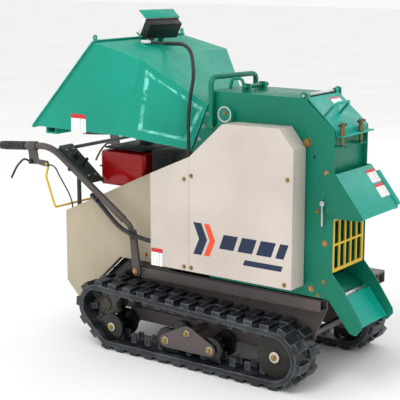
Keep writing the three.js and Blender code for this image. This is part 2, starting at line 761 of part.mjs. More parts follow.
function frontPlateGeometry() {
  const [y0, y1] = housingInside();
  const forkZ = lipZ() - FORK.drop;
  const plate = block(FRONT_PLATE.x0, FRONT_PLATE.x1, y0, y1, FRONT_PLATE.z0, FRONT_PLATE.z1);
  const forks = LIP.screwYs.map((y) => {
    const { width, slot, reach } = FORK;
    const outline = [
      [FRONT_PLATE.x1 - 1, y - width / 2],
      [FRONT_PLATE.x1 + reach, y - width / 2],
      [FRONT_PLATE.x1 + reach, y - slot / 2],
      [FRONT_PLATE.x1 + 10, y - slot / 2],
      [FRONT_PLATE.x1 + 10, y + slot / 2],
      [FRONT_PLATE.x1 + reach, y + slot / 2],
      [FRONT_PLATE.x1 + reach, y + width / 2],
      [FRONT_PLATE.x1 - 1, y + width / 2],
    ];
    return plateXY(outline, forkZ, forkZ + FORK.thickness);
  });
  return join(plate, ...forks);
}

function panGeometry() {
  const [y0, y1] = housingInside();
  const { backX, frontX, bottomZ, plate } = HOUSING;
  const floor = block(backX, frontX - 4, y0, y1, bottomZ, bottomZ + plate);
  const apron = plateXZ(
    [
      [frontX - 4, bottomZ + 1],
      [frontX - 4, bottomZ + plate],
      [frontX - 82, bottomZ + 46],
      [frontX - 82, bottomZ + 1],
    ],
    y0,
    y1,
  );
  const back = block(backX, backX + plate, y0, y1, bottomZ, 805);
  const feedFloor = plateXZ(
    [
      [THROAT.bottomX + 5, THROAT.bottomZ - 8],
      [THROAT.bottomX + 5, THROAT.bottomZ - 2],
      [212, 798],
      [212, 792],
    ],
    y0,
    y1,
  );
  return join(floor, apron, back, feedFloor);
}

function rotorGeometry() {
  const [y0, y1] = housingInside();
  const drum = rodY(ROTOR.drumR, y0 + 8, y1 - 8, 0, 0, SIDES.wheel);
  const shaft = rodY(ROTOR.shaftR, PULLEY_Y.y0 - 2, HOUSING.y1 + 12);
  const span = (y1 - y0 - 16) / ROTOR.rows;
  const hammers = [];
  for (let row = 0; row < ROTOR.rows; row += 1) {
    for (let i = 0; i < ROTOR.hammers; i += 1) {
      const y = y0 + 8 + span * (row + 0.5);
      const hammer = block(ROTOR.drumR - 20, ROTOR.tipR, y - 24, y + 24, -9, 9);
      hammers.push(hammer.rotateY((2 * Math.PI * (i + row / ROTOR.rows)) / ROTOR.hammers));
    }
  }
  return join(drum, shaft, ...hammers, pulley(ROTOR_PULLEY_R));
}

function feedRollerGeometry() {
  const [y0, y1] = housingInside();
  const body = rodY(FEED.r, y0 + 6, y1 - 6, 0, 0, SIDES.wheel);
  const shaft = rodY(FEED.shaftR, HOUSING.y0 - 14, HOUSING.y1 + 4);
  const teeth = Array.from({ length: FEED.teeth }, (_, i) => {
    const tooth = block(FEED.r - 4, FEED.toothR, y0 + 6, y1 - 6, -4, 4);
    return tooth.rotateY((2 * Math.PI * i) / FEED.teeth);
  });
  return join(body, shaft, ...teeth);
}

// Height of the lid's lip, level with the lower end of the sloped plate.
function lipZ() {
  return LID.z - LID.length * Math.sin(LID.slope) - LID.step;
}

// The lid is drawn in its hinge's frame: the hinge axis is Y through the origin.
function lidGeometry() {
  const { slope, length, plate, y0, y1, knuckleR, rodR } = LID;
  const ahead = [Math.cos(slope), -Math.sin(slope)];
  const point = (along, up) => [ahead[0] * along - ahead[1] * up, ahead[1] * along + ahead[0] * up];
  const panel = plateXZ([point(11, -plate), point(length, -plate), point(length, 0), point(11, 0)], y0, y1);
  const lowX = length * ahead[0];
  const lowZ = lipZ() - LID.z;
  const lip = join(
    block(lowX - plate, lowX, y0, y1, lowZ - plate, lowZ + LID.step - 1),
    block(lowX - plate, lowX + LIP.length, y0, y1, lowZ - plate, lowZ),
  );
  const knuckles = [y0, y1 - 22].map((y) =>
    join(rodY(knuckleR, y, y + 22), plateXZ([point(4, -9), point(14, -plate), point(14, 0), point(4, 6)], y, y + 22)),
  );
  const screwHoles = LIP.screwYs.map((y) => rodZ(LIP.holeR, lowZ - 10, lowZ + 10, LIP.screwX, y));
  const foot = point(100, -1);
  const rise = point(100, 62);
  const handle = bentRod(
    [
      [foot[0], -240 + 8, foot[1]],
      [rise[0], -240 + 8, rise[1]],
      [rise[0], -126, rise[1]],
      [foot[0], -126, foot[1]],
    ],
    5.5,
    22,
  );
  return cut(join(panel, lip, ...knuckles, handle), rodY(rodR + RUN, y0 - 5, y1 + 5), ...screwHoles);
}

// A T-screw stands in the lid's lip; its origin is at the lip's top face.
function screwGeometry() {
  const { barrelR, barrel, stemR, stem, barR, barHalf } = SCREW;
  return join(
    rodZ(barrelR + 2, GAP, 5, 0, 0),
    rodZ(barrelR, 4, barrel),
    rodZ(stemR, -stem, 5),
    rodY(barR, -barHalf, barHalf, 0, barrel - 8, SIDES.rod),
  );
}

function hoodGeometry() {
  const { slope, length, plate, y0, y1, cheek } = HOOD;
  const ahead = [Math.cos(slope), -Math.sin(slope)];
  const point = (along, up) => [ahead[0] * along - ahead[1] * up, ahead[1] * along + ahead[0] * up];
  const panel = plateXZ([point(0, -plate), point(length, -plate), point(length, 0), point(0, 0)], y0, y1);
  const cheekOutline = [
    point(0, 0),
    point(length, 0),
    point(length, -14),
    [-18, -157],
    [-66, -120],
    [-66, -40],
    [-40, 0],
  ];
  const near = plateXZ(cheekOutline, y0, y0 + cheek);
  const far = plateXZ(cheekOutline, y1 - cheek, y1);
  const flap = [point(30, -1), point(length - 8, -1), point(length - 8, 3), point(30, 3)];
  const sideFlap = plateXZ(flap, y1 - plate, y1 + 26);
  const pinHole = rodY(LOCK_PIN.hole, y0 - 2, y0 + cheek + 2, LOCK_PIN.x, LOCK_PIN.z);
  return cut(join(panel, near, far, sideFlap), pinHole);
}

// The lock pin points along Y from the hood's outer face, and its handle hangs down.
function lockPinGeometry() {
  const { r, handleR, handle, out } = LOCK_PIN;
  return join(
    rodY(r, -out, HOOD.cheek - 0.5),
    rodY(r + 4, -out, -0.5),
    rodZ(handleR, -handle, 0, 0, handleR - out, SIDES.rod),
  );
}

function grilleGeometry() {
  const { x0, x1, z0, z1, frame, bar, bars } = GRILLE;
  const [y0, y1] = housingInside();
  const outline = [
    [y0 + 4, z0],
    [y1 - 4, z0],
    [y1 - 4, z1],
    [y0 + 4, z1],
  ];
  const clear = (y1 - y0 - 8 - 2 * frame - bars * bar) / (bars + 1);
  const middle = (z0 + z1) / 2;
  const holes = [];
  for (let i = 0; i <= bars; i += 1) {
    const a = y0 + 4 + frame + i * (clear + bar);
    for (const [low, high] of [
      [z0 + frame, middle - bar / 2],
      [middle + bar / 2, z1 - frame],
    ]) {
      holes.push([
        [a, low],
        [a + clear, low],
        [a + clear, high],
        [a, high],
      ]);
    }
  }
  return plateYZ(outline, x0, x1, holes);
}

// The chute's floor hangs from a knuckle along Y, between the two side plates.
function chuteGeometry() {
  const { knuckleR, length, slope, plate, lip, y0, y1 } = CHUTE;
  const lift = 2;
  const floor = block(0, length, y0, y1, lift - plate, lift);
  const lips = [y0, y1 - plate].map((y) => block(12, length, y, y + plate, lift - 1, lift + lip));
  return join(join(floor, ...lips).rotateY(slope), rodY(knuckleR, y0, y1));
}

function chipper() {
  const group = new THREE.Group();
  group.add(piece("housing_side_right", rightSideGeometry(), COLOUR.housingGreen));
  group.add(piece("housing_side_left", leftSideGeometry(), COLOUR.housingGreen));
  group.add(piece("housing_top", topPlateGeometry(), COLOUR.housingGreen));
  group.add(piece("housing_front", frontPlateGeometry(), COLOUR.housingGreen));
  group.add(piece("housing_pan", panGeometry(), COLOUR.housingGreen));
  group.add(at(piece("rotor", rotorGeometry(), 0x4a4a4a, METAL), ROTOR.x, 0, ROTOR.z));
  group.add(at(piece("feed_roller", feedRollerGeometry(), 0x4a4a4a, METAL), FEED.x, 0, FEED.z));
  const rod = rodY(LID.rodR, HOUSING.y0 - 4, HOUSING.y1 + 4, LID.x, LID.z);
  group.add(piece("lid_hinge_rod", rod, COLOUR.steel, METAL));
  const lid = at(new THREE.Group(), LID.x, 0, LID.z);
  lid.add(piece("lid", lidGeometry(), COLOUR.lidGreen));
  LIP.screwYs.forEach((y, i) => {
    const screw = piece(`lid_screw_${i + 1}`, screwGeometry(), COLOUR.zinc, METAL);
    lid.add(at(screw, LIP.screwX, y, lipZ() - LID.z));
  });
  group.add(lid);
  const hood = at(new THREE.Group(), HOOD.x, 0, HOOD.z);
  hood.add(piece("discharge_hood", hoodGeometry(), COLOUR.lidGreen));
  const pin = piece("hood_lock_pin", lockPinGeometry(), COLOUR.steel, METAL);
  hood.add(at(pin, LOCK_PIN.x, HOOD.y0, LOCK_PIN.z));
  group.add(hood);
  group.add(piece("discharge_grille", grilleGeometry(), COLOUR.yellow));
  group.add(at(piece("chute", chuteGeometry(), COLOUR.lidGreen), CHUTE.x, 0, CHUTE.z));
  const { x, z, r, topZ, nearY, farY } = BAR;
  const bar = bentRod(
    [
      [0, nearY, 0],
      [0, nearY, topZ - z],
      [14, farY, topZ - z - 6],
      [0, farY, 0],
    ],
    r,
    30,
  );
  const pins = join(
    bar,
    rodY(12, nearY - r, HOUSING.y0 - GAP - 1, 0, 0),
    rodY(12, HOUSING.y1 + GAP + 1, farY + r, 0, 0),
  );
  group.add(at(piece("feed_control_bar", pins, COLOUR.housingGreen), x, 0, z));
  const lever = join(
    rodY(TENSION.r, TENSION.y0, TENSION.y1),
    bentRod(
      [
        [0, TENSION.y0 + 6, 0],
        [-8, TENSION.y0 + 6, 30],
        [-52, TENSION.y0 + 6, 30],
        [-60, TENSION.y0 + 6, -9],
      ],
      6,
      14,
    ),
  );
  group.add(at(piece("feed_tension_lever", lever, COLOUR.housingGreen), TENSION.x, 0, TENSION.z));
  return group;
}

// ---- Hopper, display and covers --------------------------------------------------------------------------

// The four corners of a hopper station, moved inwards by `inset`.
function stationCorners(station, inset) {
  const { topX, topZ, bottomX, bottomZ, halfY } = station;
  const half = halfY - inset;
  const y = HOPPER.middleY;
  return [
    [topX, y - half, topZ - inset],
    [topX, y + half, topZ - inset],
    [bottomX, y + half, bottomZ + inset],
    [bottomX, y - half, bottomZ + inset],
  ];
}

// A closed sheet-metal funnel through the stations, from the throat to the mouth.
function hopperShell() {
  const stations = [HOPPER.throat, HOPPER.fold, HOPPER.mouth];
  const loops = [
    ...stations.map((s) => stationCorners(s, 0)),
    ...stations.toReversed().map((s) => stationCorners(s, HOPPER.wall)),
  ];
  const vertices = loops.flat(2);
  const index = [];
  loops.forEach((_, k) => {
    const next = (k + 1) % loops.length;
    for (let i = 0; i < 4; i += 1) {
      const j = (i + 1) % 4;
      const [a, b, c, d] = [k * 4 + i, k * 4 + j, next * 4 + j, next * 4 + i];
      index.push(a, b, c, a, c, d);
    }
  });
  const geometry = new THREE.BufferGeometry();
  geometry.setAttribute("position", new THREE.Float32BufferAttribute(vertices, 3));
  geometry.setIndex(index);
  return geometry;
}

// A flat frame round a station, standing `reach` proud of it, in the station's own slanted plane.
function stationFrame(station, reach, thickness, inset) {
  const { topX, topZ, bottomX, bottomZ, halfY } = station;
  const height = Math.hypot(topX - bottomX, topZ - bottomZ);
  const outline = [
    [-halfY, -reach],
    [halfY, -reach],
    [halfY + reach, 0],
    [halfY + reach, height],
    [halfY, height + reach],
    [-halfY, height + reach],
    [-halfY - reach, height],
    [-halfY - reach, 0],
  ];
  const hole = [
    [-halfY + inset, inset],
    [halfY - inset, inset],
    [halfY - inset, height - inset],
    [-halfY + inset, height - inset],
  ];
  const lean = Math.atan2(topX - bottomX, topZ - bottomZ);
  return plateYZ(outline, -thickness / 2, thickness / 2, [hole])
    .rotateY(lean)
    .translate(bottomX, HOPPER.middleY, bottomZ);
}

function hopperGeometry() {
  const flange = stationFrame(HOPPER.throat, 6, 4, 6).translate(-2, 0, 0);
  const lip = stationFrame(HOPPER.mouth, HOPPER.lip, 4, 4);
  return join(hopperShell(), flange, lip);
}

// The display is drawn lying flat: X runs down its back and Y across it, then it is tilted and turned.
function placeDisplay(geometry) {
  return geometry.rotateY(Math.PI / 2 + DISPLAY.tilt).rotateZ(-DISPLAY.yaw);
}

function displayBoxGeometry() {
  const { width, height, depth } = DISPLAY;
  const { over, under, side, depth: faceDepth } = DISPLAY_FACE;
  const back = block(0, height, 0, width, -depth, 0);
  const face = block(-over, height + under, -side, width + side, -depth - faceDepth, -depth + 1);
  return placeDisplay(join(back, face));
}

// A visor over the display, an end plate behind it and a shelf under it, on two legs that reach the hopper.
function displayBracketGeometry() {
  const { width, height, depth } = DISPLAY;
  const { over, under, side, depth: faceDepth } = DISPLAY_FACE;
  const { plate, visor, legs, legWidth } = BRACKET;
  const front = -depth - faceDepth;
  const high = -over - GAP;
  const low = height + under + GAP;
  const end = width + side + GAP;
  const parts = [
    block(high - plate, high, -6, end + plate, front - visor, -depth),
    block(high - plate, low + plate, end, end + plate, front, -depth),
    block(low, low + plate, -6, end + plate, front, -depth),
  ];
  for (const y of [20, width - 20 - legWidth]) {
    parts.push(block(low + 1, low + legs, y, y + legWidth, front + 8, front + 8 + plate));
  }
  const { fold, mouth, middleY } = HOPPER;
  const hopperTop = plateXZ(
    [
      [mouth.topX, mouth.topZ - 200],
      [fold.topX, fold.topZ - 200],
      [fold.topX, fold.topZ + GAP],
      [mouth.topX, mouth.topZ + GAP],
    ],
    middleY - mouth.halfY,
    middleY + mouth.halfY,
  );
  return cut(placeDisplay(join(...parts)), hopperTop.translate(-DISPLAY.x, -DISPLAY.y, -DISPLAY.z));
}

const REAR_COVER = { y0: -197, y1: -160, skin: 3, postHole: 11 };
const REAR_COVER_OUTLINE = [
  [-650, 201],
  [-581, 132],
  [-361, 343],
  [-110, 343],
  [-110, 746],
  [-649, 500],
];

function inset(outline, distance) {
  const count = outline.length;
  const turn = Math.sign(THREE.ShapeUtils.area(outline.map(([x, y]) => new THREE.Vector2(x, y))));
  return outline.map(([x, y], i) => {
    const [px, py] = outline[(i + count - 1) % count];
    const [nx, ny] = outline[(i + 1) % count];
    const before = new THREE.Vector2(x - px, y - py).normalize();
    const after = new THREE.Vector2(nx - x, ny - y).normalize();
    const inA = new THREE.Vector2(-before.y, before.x).multiplyScalar(turn);
    const inB = new THREE.Vector2(-after.y, after.x).multiplyScalar(turn);
    const mid = inA.clone().add(inB).normalize();
    const reach = distance / mid.dot(inA);
    return [x + mid.x * reach, y + mid.y * reach];
  });
}

// A sheet-metal tray: a flat face at y0 and a return all round it, open at y1.
function tray(outline, y0, y1, skin) {
  return cut(plateXZ(outline, y0, y1), plateXZ(inset(outline, skin), y0 + skin, y1 + 5));
}

function sideCovers() {
  const { y0, y1, skin, rearX, seamX, seamGap, bottomZ, rearTopZ, seamTopZ } = COVER;
  const half = seamGap / 2;
  const feedCoverHole = block(FEED_COVER.x - 34, FEED_COVER.x + 34, -290, y1 + 5, 900, 1000);
  const conduitHole = block(50, 75, -315, y1 + 5, 770, 830);
  const loomHole = block(rearX - 5, rearX + 5, -282, y1 + 5, LOOM.z - 18, LOOM.z + 18);
  const beltWindow = block(seamX - 10, seamX + 10, y0 + 15, y1 + 5, 405, 790);
  const middle = [
    [rearX, bottomZ],
    [seamX - half, bottomZ],
    [seamX - half, seamTopZ],
    [rearX, rearTopZ],
  ];
  const front = [
    [seamX + half, bottomZ],
    [533, bottomZ],
    [533, 882],
    [475, 952],
    [236, 948],
    [seamX + half, seamTopZ],
  ];
  return [
    ["cover_middle", cut(tray(middle, y0, y1, skin), loomHole, conduitHole, beltWindow)],
    ["cover_front", cut(tray(front, y0, y1, skin), feedCoverHole, conduitHole, beltWindow)],
  ];
}

function rearCoverGeometry() {
  const { y0, y1, skin, postHole } = REAR_COVER;
  const holes = [
    rodZ(postHole, 480, 600, POST.x, POST.y),
    block(-632, -604, -194, -170, 490, 560),
    block(POST.x + 35, POST.x + 65, POST.y - 8, y1 + 5, 396, 416),
  ];
  return cut(tray(REAR_COVER_OUTLINE, y0, y1, skin), ...holes);
}

function upperWorks() {
  const group = new THREE.Group();
  group.add(piece("hopper", hopperGeometry(), COLOUR.hopperGreen));
  const display = at(new THREE.Group(), DISPLAY.x, DISPLAY.y, DISPLAY.z);
  display.add(piece("display_box", displayBoxGeometry(), COLOUR.black, PLASTIC));
  display.add(piece("display_bracket", displayBracketGeometry(), COLOUR.hopperGreen));
  group.add(display);
  const conduitRoute = [
    [-150, -166, 1206],
    [-70, -222, 1213],
    [-20, -228, 1213],
    [28, -248, 1195],
    [62, -276, 1155],
    [80, -298, 1100],
    [76, -309, 1040],
    [66, -309, 950],
    [62, -303, 860],
    [62, -300, 780],
    [62, -300, 700],
  ];
  group.add(piece("display_conduit", cord(conduitRoute, CONDUIT_R, 40), COLOUR.black, PLASTIC));
  group.add(piece("cover_rear", rearCoverGeometry(), COLOUR.cream));
  for (const [name, geometry] of sideCovers()) {
    group.add(piece(name, geometry, COLOUR.cream));
  }
  return group;
}

// ---- Operator's end --------------------------------------------------------------------------------------

const HANDLE_SLOPE = Math.atan2(HANDLE.bendZ - HANDLE.gripZ, HANDLE.bendX - HANDLE.gripX);

function handlebarGeometry(sign) {
  const y = sign * HANDLE.y;
  const leg = [Math.cos(HANDLE_SLOPE), Math.sin(HANDLE_SLOPE)];
  const start = [HANDLE.gripX + 8 * leg[0], y, HANDLE.gripZ + 8 * leg[1]];
  const drop = (HANDLE.endZ - HANDLE.bendZ) / (HANDLE.endX - HANDLE.bendX);
  const collar = [HANDLE.collarX, y, HANDLE.bendZ + (HANDLE.collarX - HANDLE.bendX) * drop];
  const bar = bentRod([start, [HANDLE.bendX, y, HANDLE.bendZ], collar], HANDLE.r, HANDLE.bend, 12, 6);
  const neck = bentRod(
    [
      [collar[0] - 20, y, collar[2] - 20 * drop],
      [HANDLE.endX, y, HANDLE.endZ],
      [ARM.topX + 2, y, HANDLE.endZ - 50],
    ],
    HANDLE.neckR,
    18,
    12,
  );
  const { topX, bottomX, bottomZ, half, y0, y1 } = ARM;
  const arm = plateXZ(
    [
      [topX - half + 6, HANDLE.endZ - 14],
      [bottomX - half, bottomZ + 12],
      [bottomX - half + 8, bottomZ],
      [bottomX + half - 8, bottomZ],
      [bottomX + half, bottomZ + 12],
      [topX + half - 4, HANDLE.endZ - 14],
    ],
    ...sideSpan(sign, y0, y1),
  );
  return join(bar, neck, arm, rodY(11, ...sideSpan(sign, y1 - 1, y1 + 8), bottomX, bottomZ + 20, 6));
}

// The grip, bracket and lever share a frame whose X axis runs along the handlebar's end, from the grip's tip.
function gripGeometry() {
  const { length, r, ribs } = GRIP;
  const step = length / ribs;
  const rings = Array.from({ length: ribs }, (_, i) => rodX(r, i * step + 2, i * step + step - 3, 0, 0, SIDES.shaft));
  return cut(join(rodX(r - 1, 0, length), ...rings.slice(1)), rodX(HANDLE.r + RUN, 6, length + 5));
}

function clutchBracketGeometry(sign) {
  const ring = cut(rodX(HANDLE.r + 5, 152, 204), rodX(HANDLE.r + RUN, 140, 216));
  const outline = [
    [154, -16],
    [202, -16],
    [206, -56],
    [258, -62],
    [260, -84],
    [240, -84],
    [202, -76],
    [158, -76],
  ];
  const [p0, p1] = sideSpan(sign, LEVER.y - 7, LEVER.y - GAP);
  const plate = plateXZ(outline, p0, p1, [circle(BAIL.u, BAIL.w, BAIL.r + RUN, SIDES.rod)]);
  const [q0, q1] = sideSpan(sign, LEVER.y - 2, LEVER.y + LEVER.thickness + 2);
  return join(ring, plate, rodY(LEVER.pinR, q0, q1, LEVER.u, LEVER.w));
}

function clutchLeverGeometry(sign) {
  const [y0, y1] = sideSpan(sign, 0.2, LEVER.thickness);
  const y = (y0 + y1) / 2;
  const handle = bentRod(
    [
      [-4, y, 2],
      [-38, y, 12],
      [-82, y, -22],
      [-112, y, -62],
      [-118, y, -72],
    ],
    LEVER.thickness / 2,
    16,
  );
  return cut(join(rodY(LEVER.bossR, y0, y1), handle), rodY(LEVER.pinR + RUN, y0 - 5, y1 + 5));
}

// A point of the sloped handle-end frame, in the machine's frame.
function onHandle(u, w) {
  const [c, s] = [Math.cos(HANDLE_SLOPE), Math.sin(HANDLE_SLOPE)];
  return [HANDLE.gripX + u * c - w * s, HANDLE.gripZ + u * s + w * c];
}

function bailGeometry() {
  const [px, pz] = onHandle(BAIL.u, BAIL.w);
  const pinY = HANDLE.y + LEVER.y;
  const halfPath = [
    [0, pinY, 0],
    [0, BAIL.legY, 0],
    [BAIL.kneeX - px, BAIL.legY, BAIL.kneeZ - pz],
    [BAIL.barX - px, BAIL.legY, BAIL.barZ - pz],
  ];
  const mirrored = halfPath.toReversed().map(([x, y, z]) => [x, -y, z]);
  return bentRod([...halfPath, ...mirrored], BAIL.r, 12, SIDES.rod, 4);
}

function panelGeometry() {
  const { x0, z0, x1, z1, y0, y1, plate } = PANEL;
  const fall = (z1 - z0) / (x1 - x0);
  const strip = (depth) => [
    [x0, z0 - depth],
    [x1, z1 - depth],
    [x1, z1],
    [x0, z0],
  ];
  const under = z0 + (POST.x - x0) * fall - plate + 1;
  const reach = HANDLE.y - HANDLE.r - 0.5;
  const tab = plateXZ(
    [
      [CROSS_BAR.x, CROSS_BAR.z - 4],
      [x0 + 8, z0 - 14],
      [x0 + 8, z0 - 8],
      [CROSS_BAR.x, CROSS_BAR.z + 4],
    ],
    y0 + 16,
    y1 - 16,
  );
  return join(
    plateXZ(strip(plate), y0, y1),
    plateXZ(strip(18), y0, y0 + 4),
    plateXZ(strip(18), y1 - 4, y1),
    tab,
    rodY(CROSS_BAR.r, -reach, reach, CROSS_BAR.x, CROSS_BAR.z, SIDES.rod),
    rodZ(POST.r, 400, under, POST.x, POST.y, SIDES.rod),
    block(POST.x - POST.r, POST.x + 60, POST.y - 4, POST.y + POST.r, 400, 420),
    block(POST.x + 40, POST.x + 60, POST.y - 4, -146, 400, 412),
    block(POST.x + 40, POST.x + 60, -158, -146, DECK.z1 + GAP, 412),
  );
}

function operatorEnd() {
  const group = new THREE.Group();
  for (const [side, sign] of BOTH_SIDES) {
    group.add(piece(`handlebar_${side}`, handlebarGeometry(sign), COLOUR.taupe));
    const end = at(new THREE.Group(), HANDLE.gripX, sign * HANDLE.y, HANDLE.gripZ);
    end.rotation.y = -HANDLE_SLOPE;
    end.add(piece(`grip_${side}`, gripGeometry(), COLOUR.black, RUBBER));
    end.add(piece(`clutch_bracket_${side}`, clutchBracketGeometry(sign), COLOUR.castGrey));
    const lever = piece(`clutch_lever_${side}`, clutchLeverGeometry(sign), COLOUR.black);
    end.add(at(lever, LEVER.u, sign * LEVER.y, LEVER.w));
    group.add(end);
    const route = [
      [-677, 268, 694],
      [-660, 268, 700],
      [-645, 263, 692],
      [-634, 250, 657],
      [-622, 232, 615],
      [-617, 208, 570],
      [-620, 188, 520],
      [-626, 188, 440],
      [-610, 188, 360],
      [-570, 187, 300],
      [-500, 172, 285],
      [-450, 155, 280],
      [-414, 135, 272],
    ].map(([x, y, z]) => [x, sign * y, z]);
    group.add(piece(`clutch_cable_${side}`, cord(route, CABLE_R, 40), COLOUR.black, PLASTIC));
  }
  const loomRoute = [
    [-452, -262, 600],
    [-420, -263, 579],
    [-391, -264, 556],
    [-345, -272, 524],
    [-290, -284, 494],
    [-240, -289, 477],
    [-180, -285, 463],
    [-120, -276, LOOM.z],
    [-92, -260, LOOM.z],
    [-80, -235, LOOM.z],
    [-80, -195, LOOM.z],
    [-80, -160, LOOM.z],
  ];
  group.add(piece("control_loom", cord(loomRoute, LOOM.r, 28), COLOUR.black, PLASTIC));
  group.add(piece("control_panel", panelGeometry(), 0x2c3430));
  const [bx, bz] = onHandle(BAIL.u, BAIL.w);
  group.add(at(piece("safety_bail", bailGeometry(), COLOUR.yellow, METAL), bx, 0, bz));
  return group;
}

// ---- The machine, standing on its tracks over the middle of its own length and width -----------------------

const machine = new THREE.Group();
machine.add(runningGear(), powerUnit(), chipper(), upperWorks(), operatorEnd());
const extent = new THREE.Box3().setFromObject(machine, true);
const middle = extent.getCenter(new THREE.Vector3());
machine.position.set(-middle.x, -middle.y, -extent.min.z);

export default machine;
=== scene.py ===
"""Looks of the crawler wood chipper: painted, rubber and metal finishes on the CAD pieces, and the
fasteners, plates, hoses and trim too fine for the CAD model. Places and lengths of the trim are in
millimetres in the drawing frame of the CAD part, which place() turns into metres in the shared frame."""
import json
import math

import bmesh
import bpy
from mathutils import Matrix, Vector


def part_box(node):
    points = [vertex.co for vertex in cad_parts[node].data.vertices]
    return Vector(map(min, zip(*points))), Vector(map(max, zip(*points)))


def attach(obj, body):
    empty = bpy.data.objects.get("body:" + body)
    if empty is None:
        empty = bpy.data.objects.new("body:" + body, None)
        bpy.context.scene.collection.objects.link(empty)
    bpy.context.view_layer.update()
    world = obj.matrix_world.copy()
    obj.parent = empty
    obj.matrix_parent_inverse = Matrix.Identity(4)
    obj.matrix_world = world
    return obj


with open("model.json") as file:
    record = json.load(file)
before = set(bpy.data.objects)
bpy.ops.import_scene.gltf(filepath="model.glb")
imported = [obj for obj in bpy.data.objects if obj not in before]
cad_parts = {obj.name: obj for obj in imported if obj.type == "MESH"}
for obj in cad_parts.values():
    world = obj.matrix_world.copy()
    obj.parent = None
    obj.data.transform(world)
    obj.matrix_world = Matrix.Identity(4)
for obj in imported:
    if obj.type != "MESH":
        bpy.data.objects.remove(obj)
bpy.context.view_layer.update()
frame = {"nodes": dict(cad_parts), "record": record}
# How far the shared frame is from the drawing frame: the lid's hinge rod is a place known in both.
MM = 1000
ROD_MIDDLE = Vector((517, -127.5, 1060))
ROD_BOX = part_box("lid_hinge_rod")
SHIFT = (ROD_BOX[0] + ROD_BOX[1]) / 2 * MM - ROD_MIDDLE
MACHINE = "machine"
SIDES = (("right", -1), ("left", 1))


def place(x, y, z):
    """A point of the drawing frame, in metres in the shared frame."""
    return (Vector((x, y, z)) + SHIFT) / MM


# ---- Finishes ------------------------------------------------------------------------------------------


def linear(hex_code):
    """A screen colour as the linear RGBA that shaders take."""
    channels = [int(hex_code[i : i + 2], 16) / 255 for i in (1, 3, 5)]
    return [c / 12.92 if c <= 0.04045 else ((c + 0.055) / 1.055) ** 2.4 for c in channels] + [1]


class Graph:
    """A material's node tree, with short names for the nodes used here."""

    def __init__(self, name):
        self.material = bpy.data.materials.new(name)
        self.material.use_nodes = True
        self.tree = self.material.node_tree
        self.shader = self.tree.nodes["Principled BSDF"]
        self.where = self.tree.nodes.new("ShaderNodeTexCoord").outputs["Object"]

    def link(self, source, target):
        self.tree.links.new(source, target)

    def node(self, kind, inputs=(), **settings):
        made = self.tree.nodes.new(kind)
        for key, value in settings.items():
            setattr(made, key, value)
        for key, value in dict(inputs).items():
            if isinstance(value, bpy.types.NodeSocket):
                self.link(value, made.inputs[key])
            else:
                made.inputs[key].default_value = value
        return made

    def noise(self, scale, detail=4, stretch=(1, 1, 1)):
        spot = self.node("ShaderNodeMapping", {"Vector": self.where, "Scale": stretch})
        inputs = {"Vector": spot.outputs[0], "Scale": scale, "Detail": detail}
        return self.node("ShaderNodeTexNoise", inputs).outputs["Fac"]

    def ramp(self, value, low, high, first=0.0, last=1.0):
        made = self.node(
            "ShaderNodeMapRange",
            {"Value": value, "From Min": low, "From Max": high, "To Min": first, "To Max": last},
        )
        return made.outputs[0]

    def mix(self, factor, a, b):
        made = self.node("ShaderNodeMix", {0: factor}, data_type="RGBA")
        for index, value in ((6, a), (7, b)):
            if isinstance(value, bpy.types.NodeSocket):
                self.link(value, made.inputs[index])
            else:
                made.inputs[index].default_value = value
        return made.outputs[2]

    def edges(self, radius, low=0.02, high=0.2):
        """A mask that is 1 on sharp edges, from how far a rounded normal turns from the face's own."""
        soft = self.node("ShaderNodeBevel", {"Radius": radius}, samples=4).outputs[0]
        hard = self.node("ShaderNodeNewGeometry").outputs["Normal"]
        turn = self.node("ShaderNodeVectorMath", {0: soft, 1: hard}, operation="DOT_PRODUCT").outputs["Value"]
        return self.ramp(turn, 1 - low, 1 - high)

    def times(self, a, b):
        return self.node("ShaderNodeMath", {0: a, 1: b}, operation="MULTIPLY").outputs[0]

    def worn_and_highlit(self, tone, rim, radius, patch_scale, patch_low):
        """The tone, with its sharp edges turned to the lighter rim colour in patches: partly worn paint,
        partly painted highlight.
        """
        patches = self.ramp(self.noise(patch_scale), patch_low, 0.6)
        return self.mix(self.times(self.edges(radius), patches), tone, linear(rim))

    def bump(self, height, strength, distance=0.001):
        made = self.node("ShaderNodeBump", {"Height": height, "Strength": strength, "Distance": distance})
        self.link(made.outputs[0], self.shader.inputs["Normal"])

    def colour(self, value):
        self.link(value, self.shader.inputs["Base Color"])

    def roughness(self, value):
        self.link(value, self.shader.inputs["Roughness"])


def shade(colour, factor):
    return [min(1, c * factor) for c in colour[:3]] + [1]


def paint(name, hex_code, gloss=0.35, grime=0.35, shine=0.3, rim=None):
    """Powder coat: faint orange peel, slow tone changes, fine scuffs, some dust, and edges lighter in
    patches, partly thin worn paint and partly painted highlight.
    """
    g = Graph(name)
    base = linear(hex_code)
    g.shader.inputs["Specular IOR Level"].default_value = shine
    slow = g.ramp(g.noise(3.2), 0.35, 0.7)
    tone = g.mix(slow, shade(base, 0.9), shade(base, 1.08))
    dust = g.ramp(g.noise(11, 8), 0.55, 0.75, 0, grime)
    tone = g.mix(dust, tone, shade(base, 0.72))
    scuffs = g.ramp(g.noise(120, 3, (1, 1, 0.25)), 0.72, 0.76, 0, 0.25)
    tone = g.mix(scuffs, tone, shade(base, 1.35))
    # The rim colour lightens sharp edges: part wear, part painted highlight.
    if rim:
        tone = g.worn_and_highlit(tone, rim, 0.0025, 45, 0.35)
    g.colour(tone)
    g.roughness(g.ramp(g.noise(24, 6), 0.3, 0.7, gloss - 0.07, gloss + 0.12))
    g.bump(g.noise(520, 2), 0.12, 0.0004)
    return g.material


